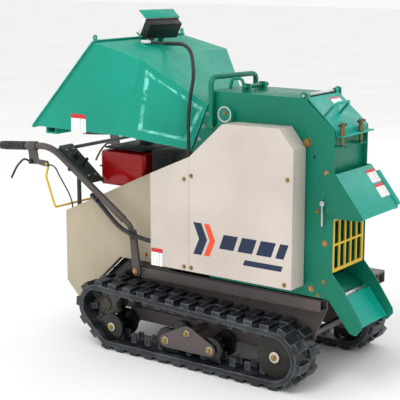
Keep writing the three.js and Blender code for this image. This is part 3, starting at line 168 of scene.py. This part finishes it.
def metal(name, hex_code, rough=0.32, tint=0.8):
    """Plated or bare steel: drawn grain, tarnish blotches and small pits."""
    g = Graph(name)
    base = linear(hex_code)
    g.shader.inputs["Metallic"].default_value = 0.9
    blotch = g.ramp(g.noise(35, 6), 0.4, 0.65)
    tone = g.mix(blotch, base, shade(base, tint))
    rust = g.ramp(g.noise(80, 5), 0.68, 0.76, 0, 0.45)
    g.colour(g.mix(rust, tone, linear("#6B4630")))
    g.roughness(g.ramp(g.noise(60, 4), 0.3, 0.7, rough - 0.08, rough + 0.15))
    g.bump(g.noise(400, 3, (1, 0.12, 1)), 0.15, 0.0003)
    return g.material


def casting(name, hex_code, metallic=0.35, rough=0.58):
    """Sand casting or heat-proof paint: grainy, stained in patches."""
    g = Graph(name)
    base = linear(hex_code)
    g.shader.inputs["Metallic"].default_value = metallic
    stain = g.ramp(g.noise(14, 7), 0.4, 0.7)
    tone = g.mix(stain, shade(base, 1.12), shade(base, 0.7))
    g.colour(g.mix(g.ramp(g.noise(160, 2), 0.6, 0.75, 0, 0.3), tone, shade(base, 1.7)))
    g.roughness(g.ramp(g.noise(30), 0.3, 0.7, rough - 0.1, rough + 0.12))
    g.bump(g.noise(260, 6), 0.5, 0.0008)
    return g.material


def moulded(name, hex_code, rough=0.5, grain=300, dusty=0.25, rim=None):
    """Plastic or rubber: fine grain, scuffs, pale dust and edges made lighter, partly by wear and partly as
    painted highlight.
    """
    g = Graph(name)
    base = linear(hex_code)
    dust = g.ramp(g.noise(18, 8), 0.45, 0.75, 0, dusty)
    tone = g.mix(g.ramp(g.noise(5), 0.3, 0.7), shade(base, 0.85), shade(base, 1.2))
    tone = g.mix(dust, tone, linear("#7D8084"))
    # The rim colour lightens sharp edges: part wear, part painted highlight.
    if rim:
        tone = g.worn_and_highlit(tone, rim, 0.005, 30, 0.3)
    g.colour(tone)
    g.roughness(g.ramp(g.noise(40, 5), 0.3, 0.7, rough - 0.08, rough + 0.14))
    g.bump(g.noise(grain, 4), 0.3, 0.0005)
    return g.material


# A label's grey lines follow a sine of the height: this many radians for each metre.
LINE_WAVE = 900.0
BAND_LOW, BAND_HIGH = 0.27, 0.275


def label(name, plate_height):
    """A blank warning plate: white, a red band along its top and grey lines below. Drawn on local Z."""
    g = Graph(name)
    g.shader.inputs["Roughness"].default_value = 0.35
    height = g.node("ShaderNodeSeparateXYZ", {0: g.where}).outputs["Z"]
    wave = g.node("ShaderNodeMath", {0: g.times(height, LINE_WAVE)}, operation="SINE").outputs[0]
    broken = g.ramp(g.noise(140, 1, (1, 1, 0.02)), 0.5, 0.55)
    inked = g.times(g.ramp(wave, 0.1, 0.4, 0, 0.85), broken)
    paper = g.mix(inked, linear("#F1F1EE"), linear("#6F7780"))
    band = g.ramp(height, plate_height * BAND_LOW / MM, plate_height * BAND_HIGH / MM)
    g.colour(g.mix(band, paper, linear("#C4242B")))
    g.bump(g.noise(200, 3), 0.08, 0.0003)
    return g.material


# The rim colours below make sharp edges lighter: part worn paint, part painted highlight.
FINISH = {
    # painted_teal and painted_green are lit and shaded copies of the machine's one green paint. Teal is the
    # lighter copy for upward faces and green is for the sides: painted light and shade.
    "painted_green": paint("green_paint", "#00735B", rim="#35A58C"),
    "painted_teal": paint("teal_paint", "#00A08E", rim="#58CDBF"),
    "hopper_green": paint("hopper_paint", "#02957E", rim="#7FE0D2"),
    "painted_cream": paint("cream_paint", "#C9BFB6", 0.45, 0.06),
    "painted_taupe": paint("taupe_paint", "#554D4C", 0.4, 0.4, rim="#8F8780"),
    "painted_black": paint("black_paint", "#0C0D0E", 0.25, 0.3, 0.5),
    "panel_grey": paint("panel_paint", "#2E3A36", 0.5, 0.3, rim="#6E7A74"),
    "painted_yellow": paint("yellow_paint", "#E6BE2E", 0.4, 0.3, rim="#F2E08A"),
    "tank_red": paint("tank_enamel", "#B00A10", 0.18, 0.15, 0.35),
    "engine_dark": casting("engine_casting", "#161819"),
    "cast_grey": casting("grey_casting", "#5A5550", 0.4),
    "rotor_steel": metal("worked_steel", "#55524F", 0.45),
    "zinc": metal("zinc_plate", "#A58E55", 0.3),
    "steel": metal("bright_steel", "#BFC0C2", 0.25, 0.85),
    "idler_dark": casting("idler_casting", "#24231D", 0.2),
    "track_rubber": moulded("track_rubber", "#0E1217", 0.42, 180, 0.2, "#8C98A4"),
    "grip_rubber": moulded("grip_rubber", "#0F1216", 0.5, 320, 0.08),
    "black_plastic": moulded("black_plastic", "#0F1012", 0.42, 420, 0.08),
}
COPPER = metal("copper_bolt", "#BE8A60", 0.3)
AGED_ZINC = metal("aged_zinc", "#7D6E44", 0.35)
# A darker, yellower copy of the cream for the rear cover, which faces a little backwards: painted shade.
SHADED_REAR_CREAM = paint("rear_cream_paint", "#B2A690", 0.45, 0.1)
NAVY = paint("navy_vinyl", "#1D2B45", 0.3, 0.05)
ORANGE = paint("orange_vinyl", "#E8502A", 0.3, 0.05)
SCREEN = moulded("screen_glass", "#0E1A16", 0.12, 500, 0.03)
WHITE = paint("white_panel", "#E9E9E6", 0.35, 0.1)
SLOT_OF = {row["node"]: row["material_slot"] for row in frame["record"]["subparts"]}


# ---- CAD pieces: their own finish, welded, softly bevelled and shaded round --------------------------------


WELD_DISTANCE = 0.00002
ROUND_BELOW = math.radians(37)
BEVEL_ABOVE = math.radians(50)


def smoothing_group():
    """Joins split corners and shades every edge flatter than the angle as round."""
    group = bpy.data.node_groups.new("weld_and_smooth", "GeometryNodeTree")
    group.interface.new_socket("Geometry", in_out="INPUT", socket_type="NodeSocketGeometry")
    group.interface.new_socket("Geometry", in_out="OUTPUT", socket_type="NodeSocketGeometry")
    new, link = group.nodes.new, group.links.new
    start, end = new("NodeGroupInput"), new("NodeGroupOutput")
    weld, angle = new("GeometryNodeMergeByDistance"), new("GeometryNodeInputMeshEdgeAngle")
    weld.inputs["Distance"].default_value = WELD_DISTANCE
    flat = new("FunctionNodeCompare")
    flat.operation = "LESS_THAN"
    link(angle.outputs["Unsigned Angle"], flat.inputs["A"])
    flat.inputs["B"].default_value = ROUND_BELOW
    faces, edges = new("GeometryNodeSetShadeSmooth"), new("GeometryNodeSetShadeSmooth")
    faces.domain, edges.domain = "FACE", "EDGE"
    faces.inputs["Shade Smooth"].default_value = True
    link(flat.outputs["Result"], edges.inputs["Shade Smooth"])
    link(start.outputs[0], weld.inputs["Geometry"])
    link(weld.outputs[0], faces.inputs["Geometry"])
    link(faces.outputs[0], edges.inputs["Geometry"])
    link(edges.outputs[0], end.inputs[0])
    return group


ROUND = smoothing_group()


def soften(obj, width):
    """Bevels the sharp edges by a width in millimetres and shades the rest round."""
    weld = obj.modifiers.new("weld", "WELD")
    weld.merge_threshold = WELD_DISTANCE
    bevel = obj.modifiers.new("edges", "BEVEL")
    bevel.width = width / MM
    bevel.segments = 2
    bevel.limit_method = "ANGLE"
    bevel.angle_limit = BEVEL_ABOVE
    smooth = obj.modifiers.new("shading", "NODES")
    smooth.node_group = ROUND


THIN_EDGE = 0.8
THICK_EDGES = {
    "fuel_tank": 5,
    "display_box": 2.5,
    "gearbox": 6,
    "engine_block": 2.5,
    "track_right": 2.6,
    "track_left": 2.6,
}
UNBEVELLED = ("clutch_cable_right", "clutch_cable_left", "control_loom", "display_conduit", "safety_bail")


def second_finish(name, material, test):
    """Gives the faces of a CAD piece that pass the test another finish."""
    mesh = frame["nodes"][name].data
    mesh.materials.append(material)
    for face in mesh.polygons:
        if test(face):
            face.material_index = 1


# The rear cover's cream is a darker copy of the cover cream: painted shade.
OWN_FINISH = {"cover_rear": SHADED_REAR_CREAM, "lid_screw_1": AGED_ZINC, "lid_screw_2": AGED_ZINC}
for name, node in frame["nodes"].items():
    node.data.materials.clear()
    node.data.materials.append(OWN_FINISH.get(name, FINISH[SLOT_OF[name]]))
    if name in UNBEVELLED:
        node.modifiers.new("shading", "NODES").node_group = ROUND
    else:
        soften(node, THICK_EDGES.get(name, THIN_EDGE))


# ---- Mesh-built trim --------------------------------------------------------------------------------------


def mesh_object(name, bm, material, body=MACHINE, edge=0.4, stand=None):
    """Turns a bmesh into a piece that rides on a body; stand is its own frame, if it has one."""
    mesh = bpy.data.meshes.new(name)
    bmesh.ops.recalc_face_normals(bm, faces=bm.faces)
    bm.to_mesh(mesh)
    bm.free()
    obj = bpy.data.objects.new(name, mesh)
    bpy.context.scene.collection.objects.link(obj)
    if stand:
        obj.matrix_world = stand
    mesh.materials.append(material)
    if edge:
        soften(obj, edge)
    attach(obj, body)
    return obj


def facing(normal):
    """A turn that takes +Z to normal."""
    return Vector((0, 0, 1)).rotation_difference(Vector(normal)).to_matrix().to_4x4()


def bridge(bm, low, high):
    """Faces between two closed rings of vertices."""
    for i in range(len(low)):
        j = (i + 1) % len(low)
        bm.faces.new((low[i], low[j], high[j], high[i]))


def round_rings(bm, at, normal, profile, sides):
    """One ring of vertices for each (radius, height) of the profile, in metres along normal."""
    turn = Matrix.Translation(place(*at)) @ facing(normal)
    angles = [2 * math.pi * i / sides for i in range(sides)]
    rings = []
    for r, h in profile:
        spots = [Vector((r * math.cos(a), r * math.sin(a), h)) for a in angles]
        rings.append([bm.verts.new(turn @ spot) for spot in spots])
    return rings


def add_lathe(bm, at, normal, profile, sides=24):
    """A solid turned shape: its profile runs from the base to the top."""
    rings = round_rings(bm, at, normal, profile, sides)
    for low, high in zip(rings, rings[1:]):
        bridge(bm, low, high)
    bm.faces.new(rings[0])
    bm.faces.new(rings[-1])


def mm(profile):
    """A profile in millimetres, turned into metres."""
    return [(r / MM, h / MM) for r, h in profile]


def add_bolt(bm, at, normal, r=7.0, height=5.0):
    """A washer, a hexagon and the end of the thread."""
    add_lathe(bm, at, normal, mm([(r * 1.35, 0.1), (r * 1.35, 1.3), (r * 1.25, 1.5)]), 24)
    add_lathe(bm, at, normal, mm([(r, 1.2), (r, height), (r * 0.84, height + 1.2)]), 6)
    add_lathe(bm, at, normal, mm([(r * 0.5, height + 0.6), (r * 0.46, height + 2.6)]), 12)


def bolts(name, spots, normal, r=7.0, height=5.0, material=None, body=MACHINE):
    bm = bmesh.new()
    for at in spots:
        add_bolt(bm, at, normal, r, height)
    return mesh_object(name, bm, material or FINISH["zinc"], body, 0)


def add_block(bm, x0, x1, y0, y1, z0, z1):
    verts = [bm.verts.new(place(x, y, z)) for x in (x0, x1) for y in (y0, y1) for z in (z0, z1)]
    for face in ((0, 1, 3, 2), (4, 6, 7, 5), (0, 4, 5, 1), (2, 3, 7, 6), (0, 2, 6, 4), (1, 5, 7, 3)):
        bm.faces.new([verts[i] for i in face])


CORNERS = ((1, 1, 0), (-1, 1, 90), (-1, -1, 180), (1, -1, 270))


def warning_plate(name, at, across, up, width, height, body=MACHINE, thick=0.5, corner=2.5):
    """A thin label with round corners at `at`, in its own frame: local X across and local Z up."""
    x, z = Vector(across).normalized(), Vector(up).normalized()
    turn = Matrix((x, z.cross(x), z)).transposed().to_4x4()
    bm = bmesh.new()
    loops = []
    for depth in (0.0, thick):
        ring = []
        for cx, cz, start in CORNERS:
            for step in range(4):
                a = math.radians(start + 30 * step)
                px = cx * (width / 2 - corner) + corner * math.cos(a)
                pz = cz * (height / 2 - corner) + corner * math.sin(a)
                ring.append(bm.verts.new((px / MM, -depth / MM, pz / MM)))
        loops.append(ring)
    bridge(bm, *loops)
    for ring in loops:
        bm.faces.new(ring)
    stand = Matrix.Translation(place(*at)) @ turn
    return mesh_object(name, bm, label(name + "_print", height), body, 0, stand)


def add_ring(bm, at, normal, inner, outer, thick, sides=24):
    """A flat ring standing on the point at."""
    loops = round_rings(bm, at, normal, mm([(inner, 0), (outer, 0), (outer, thick), (inner, thick)]), sides)
    for low, high in zip(loops, loops[1:] + loops[:1]):
        bridge(bm, low, high)


def add_prism(bm, outline, start, along, to_world=place):
    """A straight-sided solid: outline points [(x, z)] at depth start, carried `along` in Y."""
    loops = [[bm.verts.new(to_world(x, y, z)) for x, z in outline] for y in (start, start + along)]
    bridge(bm, *loops)
    for loop in loops:
        bm.faces.new(loop)


def hose(name, points, radius, material, body=MACHINE):
    """A round hose as a bevelled curve through the points, turned into a mesh."""
    curve = bpy.data.curves.new(name, "CURVE")
    curve.dimensions = "3D"
    curve.bevel_depth = radius / MM
    curve.bevel_resolution = 4
    curve.resolution_u = 8
    curve.use_fill_caps = True
    spline = curve.splines.new("BEZIER")
    spline.bezier_points.add(len(points) - 1)
    for knot, point in zip(spline.bezier_points, points):
        knot.co = place(*point)
        knot.handle_left_type = knot.handle_right_type = "AUTO"
    curve.materials.append(material)
    obj = bpy.data.objects.new(name, curve)
    bpy.context.scene.collection.objects.link(obj)
    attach(obj, body)
    return obj


NEAR = (0, -1, 0)
SIDE_FACE = -250
X_AXIS, Y_AXIS, Z_AXIS = (1, 0, 0), (0, 1, 0), (0, 0, 1)


def on_slope(origin, slope, along, y, lift=0.0):
    """A point on a plate that falls towards +X from an origin (x, z)."""
    x = origin[0] + along * math.cos(slope) + lift * math.sin(slope)
    z = origin[1] - along * math.sin(slope) + lift * math.cos(slope)
    return (x, y, z)


# ---- Covers ----------------------------------------------------------------------------------------------

COVER_FACE = -340
COVER_BOLTS = ((100, 747), (68, 732), (67, 400), (100, 400), (511, 777), (504, 400))
CHEVRONS = (("navy", NAVY, 110, 36), ("orange", ORANGE, 158, 24))
CHEVRON_Z, CHEVRON_MIDDLE, CHEVRON_LEAN = 456, 516, 26
STRIPE_BARS = ((226, 62), (306, 62), (386, 62), (466, 34))
BAR_Z, BAR_HEIGHT, BAR_LEAN = 492, 54, 20


def stripe(name, material, outline):
    bm = bmesh.new()
    add_prism(bm, outline, COVER_FACE - 0.1, -0.5)
    return mesh_object(name, bm, material, edge=0)


def slanted(x, z, width, height, lean):
    return [(x, z), (x + width, z), (x + width + lean, z + height), (x + lean, z + height)]


def cover_trim():
    bolts("cover_bolts", [(x, COVER_FACE, z) for x, z in COVER_BOLTS], NEAR, 6)
    bolts("rear_cover_bolt", [(-228, -197, 372)], NEAR, 7, material=COPPER)
    for name, material, x, width in CHEVRONS:
        half = CHEVRON_MIDDLE - CHEVRON_Z
        stripe(f"stripe_{name}_low", material, slanted(x, CHEVRON_Z, width, half, CHEVRON_LEAN))
        tip = x + CHEVRON_LEAN
        stripe(f"stripe_{name}_high", material, slanted(tip, CHEVRON_MIDDLE, width, half, -CHEVRON_LEAN))
    for index, (x, width) in enumerate(STRIPE_BARS):
        stripe(f"stripe_bar_{index + 1}", NAVY, slanted(x, BAR_Z, width, BAR_HEIGHT, BAR_LEAN))
    stripe("stripe_line", NAVY, slanted(330, 446, 160, 20, 8))
    warning_plate("middle_label", (-60, COVER_FACE - 0.1, 417), X_AXIS, Z_AXIS, 54, 68)


# ---- Hopper and display ----------------------------------------------------------------------------------

HOPPER_SIDE = -407.5
STIFFENER = [
    (-566, 880),
    (-566, 854),
    (-512, 854),
    (-512, 880),
    (-518, 880),
    (-518, 860),
    (-560, 860),
    (-560, 880),
]
EAR_X, EAR_Z, EAR_YS = -301, 1236, (-398, 143)
EAR_HOLE, EAR_OUTER, EAR_THICK = 4, 11, 4
THROAT_BOLTS = ((110, 966), (93, 918), (74, 870), (128, 924))
DISPLAY_SPOT = (-190, -202, 1278.6)
DISPLAY_YAW, DISPLAY_TILT = 0.303, 0.579
FACE_DEPTH = -35.2
SCREEN_OUTLINE = [(8, 14), (48, 14), (48, 104), (8, 104)]
SCREEN_DEPTH, SCREEN_THICK = -56.8, 1.4
BACK_OUTLINE = [(7, 8), (60, 8), (60, 141), (7, 141)]
BACK_THICK = 1.4
BUTTON_XS, BUTTON_YS = (14, 34, 54), (114, 130)
LEAD = [(-196, -176, 1226), (-204, -182, 1216), (-186, -178, 1210), (-150, -166, 1206)]
THIN_LEAD = [(-206, -150, 1232), (-222, -168, 1218), (-206, -182, 1210), (-176, -174, 1206)]


def hopper_trim():
    warning_plate("hopper_label", (-382, HOPPER_SIDE - 0.1, 909), X_AXIS, Z_AXIS, 74, 70)
    bm = bmesh.new()
    add_prism(bm, STIFFENER, -392, 530)
    mesh_object("mouth_stiffener", bm, FINISH["hopper_green"])
    bm = bmesh.new()
    for y in EAR_YS:
        add_ring(bm, (EAR_X, y, EAR_Z), X_AXIS, EAR_HOLE, EAR_OUTER, EAR_THICK)
        add_block(bm, EAR_X, EAR_X + EAR_THICK, y - EAR_OUTER, y + EAR_OUTER, EAR_Z - 15, EAR_Z - 7)
    mesh_object("mouth_ears", bm, FINISH["hopper_green"], edge=0.3)
    spots = [(x, SIDE_FACE, z) for x, z in THROAT_BOLTS]
    bolts("throat_bolts", spots, NEAR, 5, 4, FINISH["steel"])


def display_frame():
    """The display's own frame: X down its screen, Y across and -Z out of the screen."""
    spin = Matrix.Rotation(-DISPLAY_YAW, 4, "Z") @ Matrix.Rotation(math.pi / 2 + DISPLAY_TILT, 4, "Y")
    return Matrix.Translation(place(*DISPLAY_SPOT)) @ spin


def display_trim():
    turn = display_frame()
    back = turn.inverted()
    second_finish("display_box", WHITE, lambda face: (back @ face.center).z < FACE_DEPTH / MM)

    def local(x, y, z):
        return turn @ Vector((x / MM, y / MM, z / MM))

    def through(x, depth, y):
        """For a prism with its outline in X and Y that runs along the display's Z."""
        return local(x, y, depth)

    black = FINISH["black_plastic"]
    bm = bmesh.new()
    add_prism(bm, SCREEN_OUTLINE, SCREEN_DEPTH, -SCREEN_THICK, through)
    mesh_object("display_screen", bm, SCREEN)
    bm = bmesh.new()
    outward = turn.to_3x3() @ Vector((0, 0, -1))
    for y in BUTTON_YS:
        for x in BUTTON_XS:
            middle = local(x, y, SCREEN_DEPTH - 0.1) * MM - SHIFT
            add_lathe(bm, tuple(middle), outward, mm([(5, 0), (5, 1.4), (4, 2)]), 16)
    mesh_object("display_buttons", bm, black, edge=0)
    bm = bmesh.new()
    add_prism(bm, BACK_OUTLINE, 0, BACK_THICK, through)
    mesh_object("display_back_plate", bm, black, edge=0.6)
    hose("display_lead", LEAD, 4.5, black)
    hose("display_lead_thin", THIN_LEAD, 2.5, black)
    bm = bmesh.new()
    add_block(bm, -240, -206, -200, -186, 1207, 1219)
    add_block(bm, -206, -198, -198, -188, 1209, 1217)
    mesh_object("display_connector", bm, WHITE, edge=1.2)


# ---- Rotor housing ---------------------------------------------------------------------------------------

LID_ORIGIN, LID_SLOPE, LID_LENGTH = (517, 1060), 0.731, 170
HOOD_ORIGIN, HOOD_SLOPE = (653, 799), 0.909
FEED_COVER_FACE, FEED_COVER_MIDDLE = -280, (206, 975)
CHUTE_HINGE, HINGE_SLEEVE_LENGTH = (652, -225, 349), 195
COPPER_BOLTS = ((615, 797), (613, 549), (562, 377))
ZINC_BOLTS = ((613, 409), (592, 357), (580, 660))
SCREW_YS = (-225, -90)


def add_plug(bm, x, z, face):
    add_lathe(bm, (x, SIDE_FACE, z), NEAR, mm(face), 16)


def down_slope(slope):
    return Vector((math.cos(slope), 0, -math.sin(slope)))


def housing_trim():
    bolts("side_bolt_large", [(536, SIDE_FACE, 899)], NEAR, 12, 12)
    bolts("side_bolts_copper", [(x, SIDE_FACE, z) for x, z in COPPER_BOLTS], NEAR, 8, material=COPPER)
    bolts("side_bolts_zinc", [(x, SIDE_FACE, z) for x, z in ZINC_BOLTS], NEAR, 6)
    x, z = FEED_COVER_MIDDLE
    bolts("feed_cover_bolt", [(x, FEED_COVER_FACE, z + 5)], NEAR, 6)
    bm = bmesh.new()
    add_ring(bm, (x, FEED_COVER_FACE, z), NEAR, 24, 29.5, 1.2, 32)
    mesh_object("feed_cover_rim", bm, FINISH["steel"], edge=0.3)
    bm = bmesh.new()
    add_plug(bm, 565, 851, [(5, 0), (5, 1.5), (3, 2)])
    add_plug(bm, 628, 693, [(5, 0), (5, 1.0), (4, 1.4)])
    mesh_object("side_plugs", bm, FINISH["black_plastic"], edge=0)
    # The hood's and lid's side faces get the darker green and their tops keep the lighter teal. This is
    # painted shade on the sides of one green paint.
    for name in ("discharge_hood", "lid"):
        second_finish(name, FINISH["painted_green"], lambda face: abs(face.normal.y) > 0.9)
    spot = on_slope(LID_ORIGIN, LID_SLOPE, 46, -78, 0.1)
    warning_plate("lid_label", spot, Y_AXIS, -down_slope(LID_SLOPE), 66, 34, "lid_body")
    for index, along in enumerate((44, 104)):
        spot = on_slope(HOOD_ORIGIN, HOOD_SLOPE, along, -30, 0.1)
        up = -down_slope(HOOD_SLOPE)
        warning_plate(f"hood_label_{index + 1}", spot, Y_AXIS, up, 68, 54, "discharge_hood_body")
    bm = bmesh.new()
    add_lathe(bm, CHUTE_HINGE, Y_AXIS, mm([(8.5, 0), (8.5, HINGE_SLEEVE_LENGTH)]), 20)
    mesh_object("chute_hinge_sleeve", bm, FINISH["steel"], "chute_body", 0.6)
    grip_z = LID_ORIGIN[1] - LID_LENGTH * math.sin(LID_SLOPE) + 20
    for index, y in enumerate(SCREW_YS):
        name = f"lid_screw_{index + 1}"
        bm = bmesh.new()
        for way in (-1, 1):
            grip = mm([(4.4, 0), (5, 3), (5, 14), (4, 16)])
            add_lathe(bm, (658, y + way * 9.5, grip_z), (0, way, 0), grip, 16)
        mesh_object(name + "_grips", bm, FINISH["black_plastic"], name + "_body", 0)


# ---- Running gear ----------------------------------------------------------------------------------------


BOGIE_X, BOGIE_REACH = 78, 103
# Name, x, distance from the machine's middle plane, z, and the radii of the washer and the nut.
AXLES = (
    ("idler_axle", 460, 329, 120, 20.4, 11.6),
    ("rear_axle", -300, 332, 93, 16.4, 11.6),
    ("bogie_pivot", BOGIE_X, 343.6, 140, 12.6, 11.6),
)
SPROCKET_X, SPROCKET_Z = -362, 168
CAP_BOLT_CIRCLE = 19


def axle_end(name, x, y, z, sign, washer, nut, body=MACHINE):
    """A washer and a nut of the given radii on the end of an axle."""
    bm = bmesh.new()
    out = (0, sign, 0)
    add_lathe(bm, (x, y, z), out, mm([(washer, -3.4), (washer, 0.4), (washer - 1, 0.9)]), 28)
    mesh_object(name + "_washer", bm, FINISH["painted_cream"], body, 0)
    bm = bmesh.new()
    add_lathe(bm, (x, y, z), out, mm([(nut, 0.5), (nut, 7.0), (nut * 0.85, 8.2)]), 6)
    add_lathe(bm, (x, y, z), out, mm([(nut * 0.5, 8.0), (nut * 0.5, 11.0), (nut * 0.4, 12.0)]), 14)
    mesh_object(name + "_nut", bm, FINISH["zinc"], body, 0)


def sprocket_cap(side, sign):
    """The cap over a sprocket's hub, with three bolts."""
    bm = bmesh.new()
    add_lathe(bm, (SPROCKET_X, sign * 285, SPROCKET_Z), (0, sign, 0), mm([(27, 0), (27, 5), (25, 6.5)]), 28)
    for i in range(3):
        a = 2 * math.pi * (i + 0.25) / 3
        x = SPROCKET_X + CAP_BOLT_CIRCLE * math.cos(a)
        z = SPROCKET_Z + CAP_BOLT_CIRCLE * math.sin(a)
        add_lathe(bm, (x, sign * 291.3, z), (0, sign, 0), mm([(4.5, 0), (4.5, 3.4), (3.6, 4.2)]), 6)
    mesh_object(f"sprocket_cap_{side}", bm, FINISH["cast_grey"], f"sprocket_{side}_body", 0)


def running_trim():
    for side, sign in SIDES:
        for name, x, y, z, washer, nut in AXLES:
            axle_end(f"{name}_{side}", x, sign * y, z, sign, washer, nut)
        for end, way in (("rear", -1), ("front", 1)):
            name = f"bogie_end_{end}_{side}"
            x = BOGIE_X + way * BOGIE_REACH
            axle_end(name, x, sign * 340.4, 93, sign, 15, 12.6, f"bogie_{side}_body")
        sprocket_cap(side, sign)
        bolts(f"arm_bolt_{side}", [(-225, sign * 270, 320)], (0, sign, 0), 9, 4, COPPER)


# ---- Engine and operator's end -----------------------------------------------------------------------------


LOUVRES, LOUVRE_STEP, LOUVRE_Z = 6, 12, 699
TANK_RIM = [(-501.5, 694), (-501.5, 700), (-268.5, 700), (-268.5, 694)]
INNER_PLATE = [(-361, 341), (-247, 334.5), (-247, 215), (-494, 215)]
STARTER_BOLT_CIRCLE, STARTER_ANGLES = 84, (0.5, 2.6, 4.7)
PANEL_CORNER = (-636, 778)
PANEL_FALL = (168, -132)
PANEL_MIDDLE_Y = -204
PANEL_BOLTS = ((30, -225), (30, -184), (180, -225), (180, -184))
KNOB = [(16, 0), (16, 3), (11, 5), (11, 12), (9, 14)]
SWITCH = [(12, 0), (12, 2), (5, 3), (4, 22), (7, 26), (7, 34), (4, 38)]
TIE_SPOTS = ((-560, 700), (-420, 589))


def engine_trim():
    bm = bmesh.new()
    for i in range(LOUVRES):
        z = LOUVRE_Z + i * LOUVRE_STEP
        add_block(bm, -240, -140, -135, -129.5, z, z + 5)
    add_block(bm, -246, -134, -131, 21, 777.5, 783)
    mesh_object("air_cleaner_louvres", bm, FINISH["engine_dark"], edge=0.8)
    bm = bmesh.new()
    add_prism(bm, TANK_RIM, -151.5, 263)
    mesh_object("tank_seam", bm, FINISH["tank_red"], edge=2)
    # A black plate inside, behind the rear cover's cut-away. It is partly the black parts there and partly
    # painted shade for the dark inside.
    bm = bmesh.new()
    add_prism(bm, INNER_PLATE, -159, 3)
    mesh_object("rear_inner_plate", bm, FINISH["painted_black"], edge=0.6)
    bm = bmesh.new()
    add_block(bm, -484, -286, -136, 96, 770, 777.5)
    mesh_object("tank_top_plate", bm, FINISH["engine_dark"], edge=3)
    ring = [(STARTER_BOLT_CIRCLE * math.cos(a), STARTER_BOLT_CIRCLE * math.sin(a)) for a in STARTER_ANGLES]
    bolts("starter_bolts", [(-30 + x, 172, 450 + z) for x, z in ring], Y_AXIS, 5, 4)


def operator_trim():
    slope = math.atan2(PANEL_FALL[1], PANEL_FALL[0])
    ahead = Vector((math.cos(slope), 0, math.sin(slope)))
    up = Vector((-math.sin(slope), 0, math.cos(slope)))

    def on_panel(along, y):
        return tuple(Vector((PANEL_CORNER[0], y, PANEL_CORNER[1])) + ahead * along)

    for index, spot in enumerate(PANEL_BOLTS):
        bolts(f"panel_bolt_{index + 1}", [on_panel(*spot)], up, 4, 3, FINISH["steel"])
    bm = bmesh.new()
    add_lathe(bm, on_panel(70, PANEL_MIDDLE_Y), up, mm(KNOB), 24)
    add_lathe(bm, on_panel(120, PANEL_MIDDLE_Y), up, mm(SWITCH), 20)
    mesh_object("panel_switches", bm, FINISH["black_plastic"], edge=0)
    down_tube = Vector((380, 0, -279.5)).normalized()
    for side, sign in SIDES:
        bm = bmesh.new()
        for x, z in TIE_SPOTS:
            add_lathe(bm, (x, sign * 262, z), down_tube, mm([(15.6, 0), (15.6, 9)]), 24)
        mesh_object(f"cable_ties_{side}", bm, FINISH["black_plastic"], edge=0.5)


cover_trim()
hopper_trim()
display_trim()
housing_trim()
running_trim()
engine_trim()
operator_trim()


# ---- Floor, light and camera -------------------------------------------------------------------------------


LAMPS = (
    ("key", (0.5, -4.0, 5.0), 2.5, 120),
    ("fill", (-4.5, -3.0, 3.0), 4.0, 20),
    ("back", (1.0, 4.5, 4.0), 4.0, 40),
)
LAMP_TARGET = Vector((0, 0, 0.6))
CAMERA_SPOT = (2557.8, -3704.4, 1520)
CAMERA_DIP, CAMERA_YAW = 11.7, 35.7
LENS, SENSOR = 104.4, 36


def floor():
    bm = bmesh.new()
    bmesh.ops.create_grid(bm, x_segments=8, y_segments=8, size=30)
    mesh = bpy.data.meshes.new("floor")
    bm.to_mesh(mesh)
    bm.free()
    ground = bpy.data.objects.new("floor", mesh)
    bpy.context.scene.collection.objects.link(ground)
    g = Graph("floor_paper")
    g.colour(g.mix(g.ramp(g.noise(1.5), 0.3, 0.7), linear("#F4F4F3"), linear("#F9F9F8")))
    g.shader.inputs["Roughness"].default_value = 0.9
    mesh.materials.append(g.material)


def air():
    world = bpy.data.worlds.new("studio_air")
    bpy.context.scene.world = world
    bpy.context.scene.view_settings.view_transform = "Standard"
    world.use_nodes = True
    background = world.node_tree.nodes["Background"]
    background.inputs["Color"].default_value = (1, 1, 1, 1)
    background.inputs["Strength"].default_value = 0.95


def lamps():
    for name, spot, size, power in LAMPS:
        light = bpy.data.lights.new(name, "AREA")
        light.size = size
        light.energy = power
        lamp = bpy.data.objects.new(name, light)
        lamp.location = spot
        lamp.rotation_euler = (LAMP_TARGET - Vector(spot)).to_track_quat("-Z", "Y").to_euler()
        bpy.context.scene.collection.objects.link(lamp)


def camera():
    eye = bpy.data.objects.new("camera", bpy.data.cameras.new("camera"))
    eye.data.lens = LENS
    eye.data.sensor_width = SENSOR
    eye.location = place(*CAMERA_SPOT)
    eye.rotation_euler = (math.radians(90 - CAMERA_DIP), 0, math.radians(CAMERA_YAW))
    bpy.context.scene.collection.objects.link(eye)
    bpy.context.scene.camera = eye


floor()
air()
lamps()
camera()
